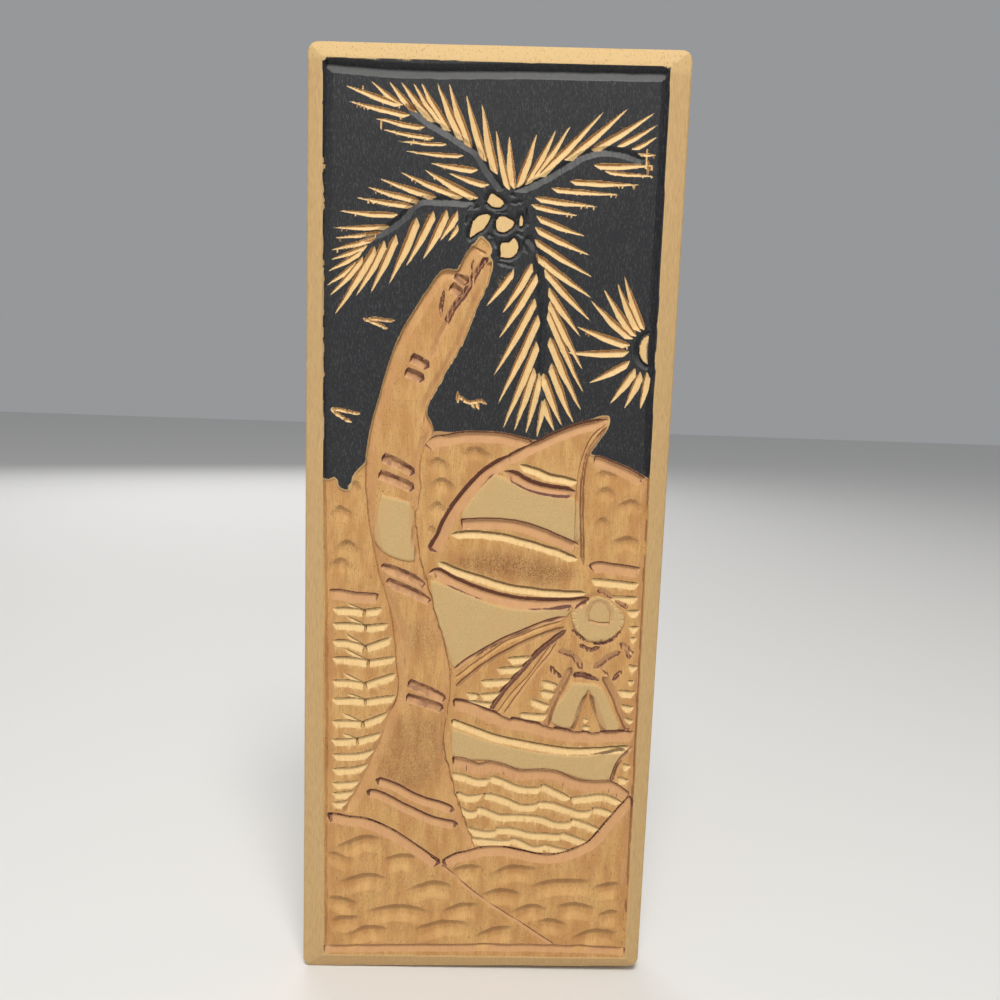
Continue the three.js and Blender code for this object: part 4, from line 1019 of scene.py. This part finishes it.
def wood_material():
    """The carved wood: paint where nothing was cut since, and below it the wood as each tool left it, with
    painted shade on the walls of the cuts and on faces turned down, and painted light on faces turned up.
    """
    s = Shader("carved wood")
    bared, dye, fresh = s.attribute("bared"), s.attribute("dye"), s.attribute("fresh")
    worked, curled, strip = s.attribute("worked"), s.attribute("curled"), s.attribute("strip")
    place = s.node("ShaderNodeSeparateXYZ", {0: s.place})
    normal = s.node("ShaderNodeSeparateXYZ", {0: s.node("ShaderNodeNewGeometry").outputs["Normal"]})
    facing = s.math("ABSOLUTE", normal.outputs["Y"])
    # steep picks the walls of the cuts, and down and lift the faces turned down or up; these carry the
    # painted shade and painted light below.
    steep = s.span(facing, 0.86, 0.78)
    down = s.span(normal.outputs["Z"], -0.06, -0.3)
    lift = s.span(normal.outputs["Z"], 0.05, 0.25)
    high = s.span(place.outputs["Z"], 0.024, 0.030)

    streaks = s.noise((0.16, 1.0, 3.0), 3.0, 0.6)
    broad = s.noise((4.0, 6.0, 16.0), 3.0, 0.55, 3.1)
    patches = s.noise((3.5, 9.0, 5.0), 3.0, 0.6, 7.7)
    specks = s.span(s.noise((0.26, 0.8, 0.75), 2.0, 0.6, 1.3), 0.60, 0.68)
    grit = s.noise((0.2, 0.3, 0.24), 1.0, 0.8, 2.2)
    curls = s.noise((0.75, 2.0, 0.6), 2.0, 0.6, 5.2, distortion=1.6)
    curl_lines = s.span(s.math("ABSOLUTE", s.math("SUBTRACT", curls, 0.5)), 0.075, 0.03)

    smooth = s.mix(s.span(grit, 0.3, 0.7), linear(188, 156, 104), linear(214, 182, 126))
    smooth = s.mix(s.span(broad, 0.4, 0.7, 0.0, 0.35), smooth, linear(208, 166, 108))
    rough = s.mix(s.span(broad, 0.35, 0.65), linear(196, 143, 84), linear(214, 167, 104))
    rough = s.mix(s.span(patches, 0.5, 0.75, 0.0, 0.45), rough, linear(206, 166, 100))
    rough = s.mix(s.span(streaks, 0.45, 0.66, 0.0, 0.4), rough, linear(168, 116, 62))
    speckled = s.math("MULTIPLY", specks, s.span(patches, 0.3, 0.6, 0.35, 0.75))
    rough = s.mix(speckled, rough, linear(124, 80, 42))
    curl_marks = s.math("MULTIPLY", curl_lines, s.math("MULTIPLY", curled, 0.85))
    rough = s.mix(curl_marks, rough, linear(118, 72, 40))
    # Painted shade: rough wood whose face turns down is darkened towards grey brown.
    rough = s.mix(s.math("MULTIPLY", down, 0.55), rough, linear(142, 100, 60))
    # Painted light: rough wood whose face turns up is lightened.
    rough = s.mix(s.math("MULTIPLY", lift, 0.25), rough, linear(232, 186, 122))
    plain = s.mix(s.span(worked, 0.3, 0.7), smooth, rough)

    pale = s.mix(s.span(streaks, 0.4, 0.7, 0.0, 0.55), linear(238, 202, 142), linear(212, 168, 106))
    # Painted shade: the steep walls of the fresh cuts, plain wood like their pale slopes, are coloured a
    # darker olive, browner above z = 30 mm, with darker streaks.
    wall = s.mix(high, linear(134, 106, 62), linear(176, 122, 68))
    wall = s.mix(s.span(streaks, 0.4, 0.6, 0.0, 0.4), wall, linear(96, 64, 36))
    cut = s.mix(steep, pale, wall)
    pink = s.mix(s.span(streaks, 0.4, 0.7, 0.0, 0.6), linear(208, 157, 108), linear(186, 128, 86))
    pink = s.mix(s.span(patches, 0.4, 0.7, 0.1, 0.7), pink, linear(210, 160, 108))
    # The steep walls of the stained cuts are a dark red brown: partly stain that gathered there, partly
    # painted shade.
    stained_shaded_wall = s.mix(s.span(streaks, 0.4, 0.6), linear(116, 70, 54), linear(92, 52, 40))
    stained_and_shaded = s.mix(steep, pink, stained_shaded_wall)
    wood = s.mix(fresh, s.mix(s.span(dye, 0.05, 1.0), plain, stained_and_shaded), cut)

    edge = s.mix(s.span(streaks, 0.35, 0.7), linear(206, 172, 118), linear(188, 150, 100))
    top_edge = s.mix(specks, linear(212, 178, 122), linear(168, 124, 78))
    edge = s.mix(s.span(place.outputs["Z"], 0.1415, 0.143), edge, top_edge)
    wood = s.mix(strip, wood, edge)

    grain = s.span(s.noise((0.22, 1.0, 1.1), 2.0, 0.7, 9.4), 0.52, 0.72)
    paint = s.mix(grain, linear(27, 28, 32), linear(72, 72, 72))
    # Painted light: the black paint is lightened to grey where its face turns up.
    paint = s.mix(s.math("MULTIPLY", lift, 0.5), paint, linear(84, 84, 84))
    threshold = s.span(grit, 0.3, 0.7, 0.02, 0.07)
    is_wood = s.span(s.math("SUBTRACT", bared, threshold), -0.015, 0.02)
    colour = s.mix(is_wood, paint, wood)

    torn = s.math("MULTIPLY", curl_lines, curled)
    relief = s.math("SUBTRACT", streaks, s.math("MULTIPLY", s.math("ADD", specks, torn), 0.6))
    bump = s.node("ShaderNodeBump", {"Height": relief, "Strength": 0.5, "Distance": 0.08 * MM})
    roughness = s.span(is_wood, 0, 1, 0.55, 0.7)
    inputs = {"Base Color": colour, "Roughness": roughness, "Normal": bump.outputs[0]}
    shader = s.node("ShaderNodeBsdfPrincipled", inputs)
    s.node("ShaderNodeOutputMaterial", {"Surface": shader.outputs[0]})
    return s.material


def plain_material(name, colour, roughness):
    """A material of one colour."""
    s = Shader(name)
    shader = s.node("ShaderNodeBsdfPrincipled", {"Base Color": colour, "Roughness": roughness})
    s.node("ShaderNodeOutputMaterial", {"Surface": shader.outputs[0]})
    return s.material


def add_board():
    """The carved board, as one object with its material."""
    carving = carve()
    board = bpy.data.objects.new("board", board_mesh(carving))
    bpy.context.scene.collection.objects.link(board)
    decimated(board, MOST_TRIANGLES)
    mesh = board.data
    mesh.polygons.foreach_set("use_smooth", np.ones(len(mesh.polygons), bool))
    mesh.set_sharp_from_angle(angle=math.radians(15))
    weighted = board.modifiers.new("even", "WEIGHTED_NORMAL")
    weighted.keep_sharp = True
    weighted.weight = 100
    add_attributes(mesh, carving)
    add_bake_map(mesh)
    mesh.materials.append(wood_material())
    return board


def add_stage():
    """A pale floor, a soft key light from above, a fill and a pale surround."""
    floor_mesh = bpy.data.meshes.new("floor")
    half, level = FLOOR_HALF_M, LOW[2] * MM
    corners = [(-half, -half, level), (half, -half, level), (half, half, level), (-half, half, level)]
    floor_mesh.from_pydata(corners, [], [(0, 1, 2, 3)])
    floor_mesh.materials.append(plain_material("pale floor", (0.78, 0.77, 0.75, 1), 0.7))
    floor = bpy.data.objects.new("floor", floor_mesh)
    bpy.context.scene.collection.objects.link(floor)
    for name, place, size, power, colour in LIGHTS:
        light = bpy.data.lights.new(name, "AREA")
        light.size = size
        light.energy = power
        light.color = colour
        lamp = bpy.data.objects.new(name, light)
        lamp.location = place
        lamp.rotation_euler = (-Vector(place)).to_track_quat("-Z", "Y").to_euler()
        bpy.context.scene.collection.objects.link(lamp)
    world = bpy.data.worlds.new("studio")
    world.use_nodes = True
    world.node_tree.nodes["Background"].inputs["Color"].default_value = (0.9, 0.92, 0.95, 1)
    world.node_tree.nodes["Background"].inputs["Strength"].default_value = WORLD_STRENGTH
    bpy.context.scene.world = world
    bpy.context.scene.view_settings.view_transform = "Standard"


def add_camera():
    """A camera at the viewing angle of the photograph."""
    camera = bpy.data.cameras.new("camera")
    camera.sensor_width = 36.0
    camera.lens = LENS
    camera.clip_start = 0.01
    camera.clip_end = 20
    eye = bpy.data.objects.new("camera", camera)
    eye.location = Vector(EYE) * MM
    eye.rotation_euler = Euler([math.radians(angle) for angle in EYE_TURN], "XYZ")
    bpy.context.scene.collection.objects.link(eye)
    bpy.context.scene.camera = eye


board = add_board()
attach(board, "root")
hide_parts(NODE)
add_stage()
add_camera()
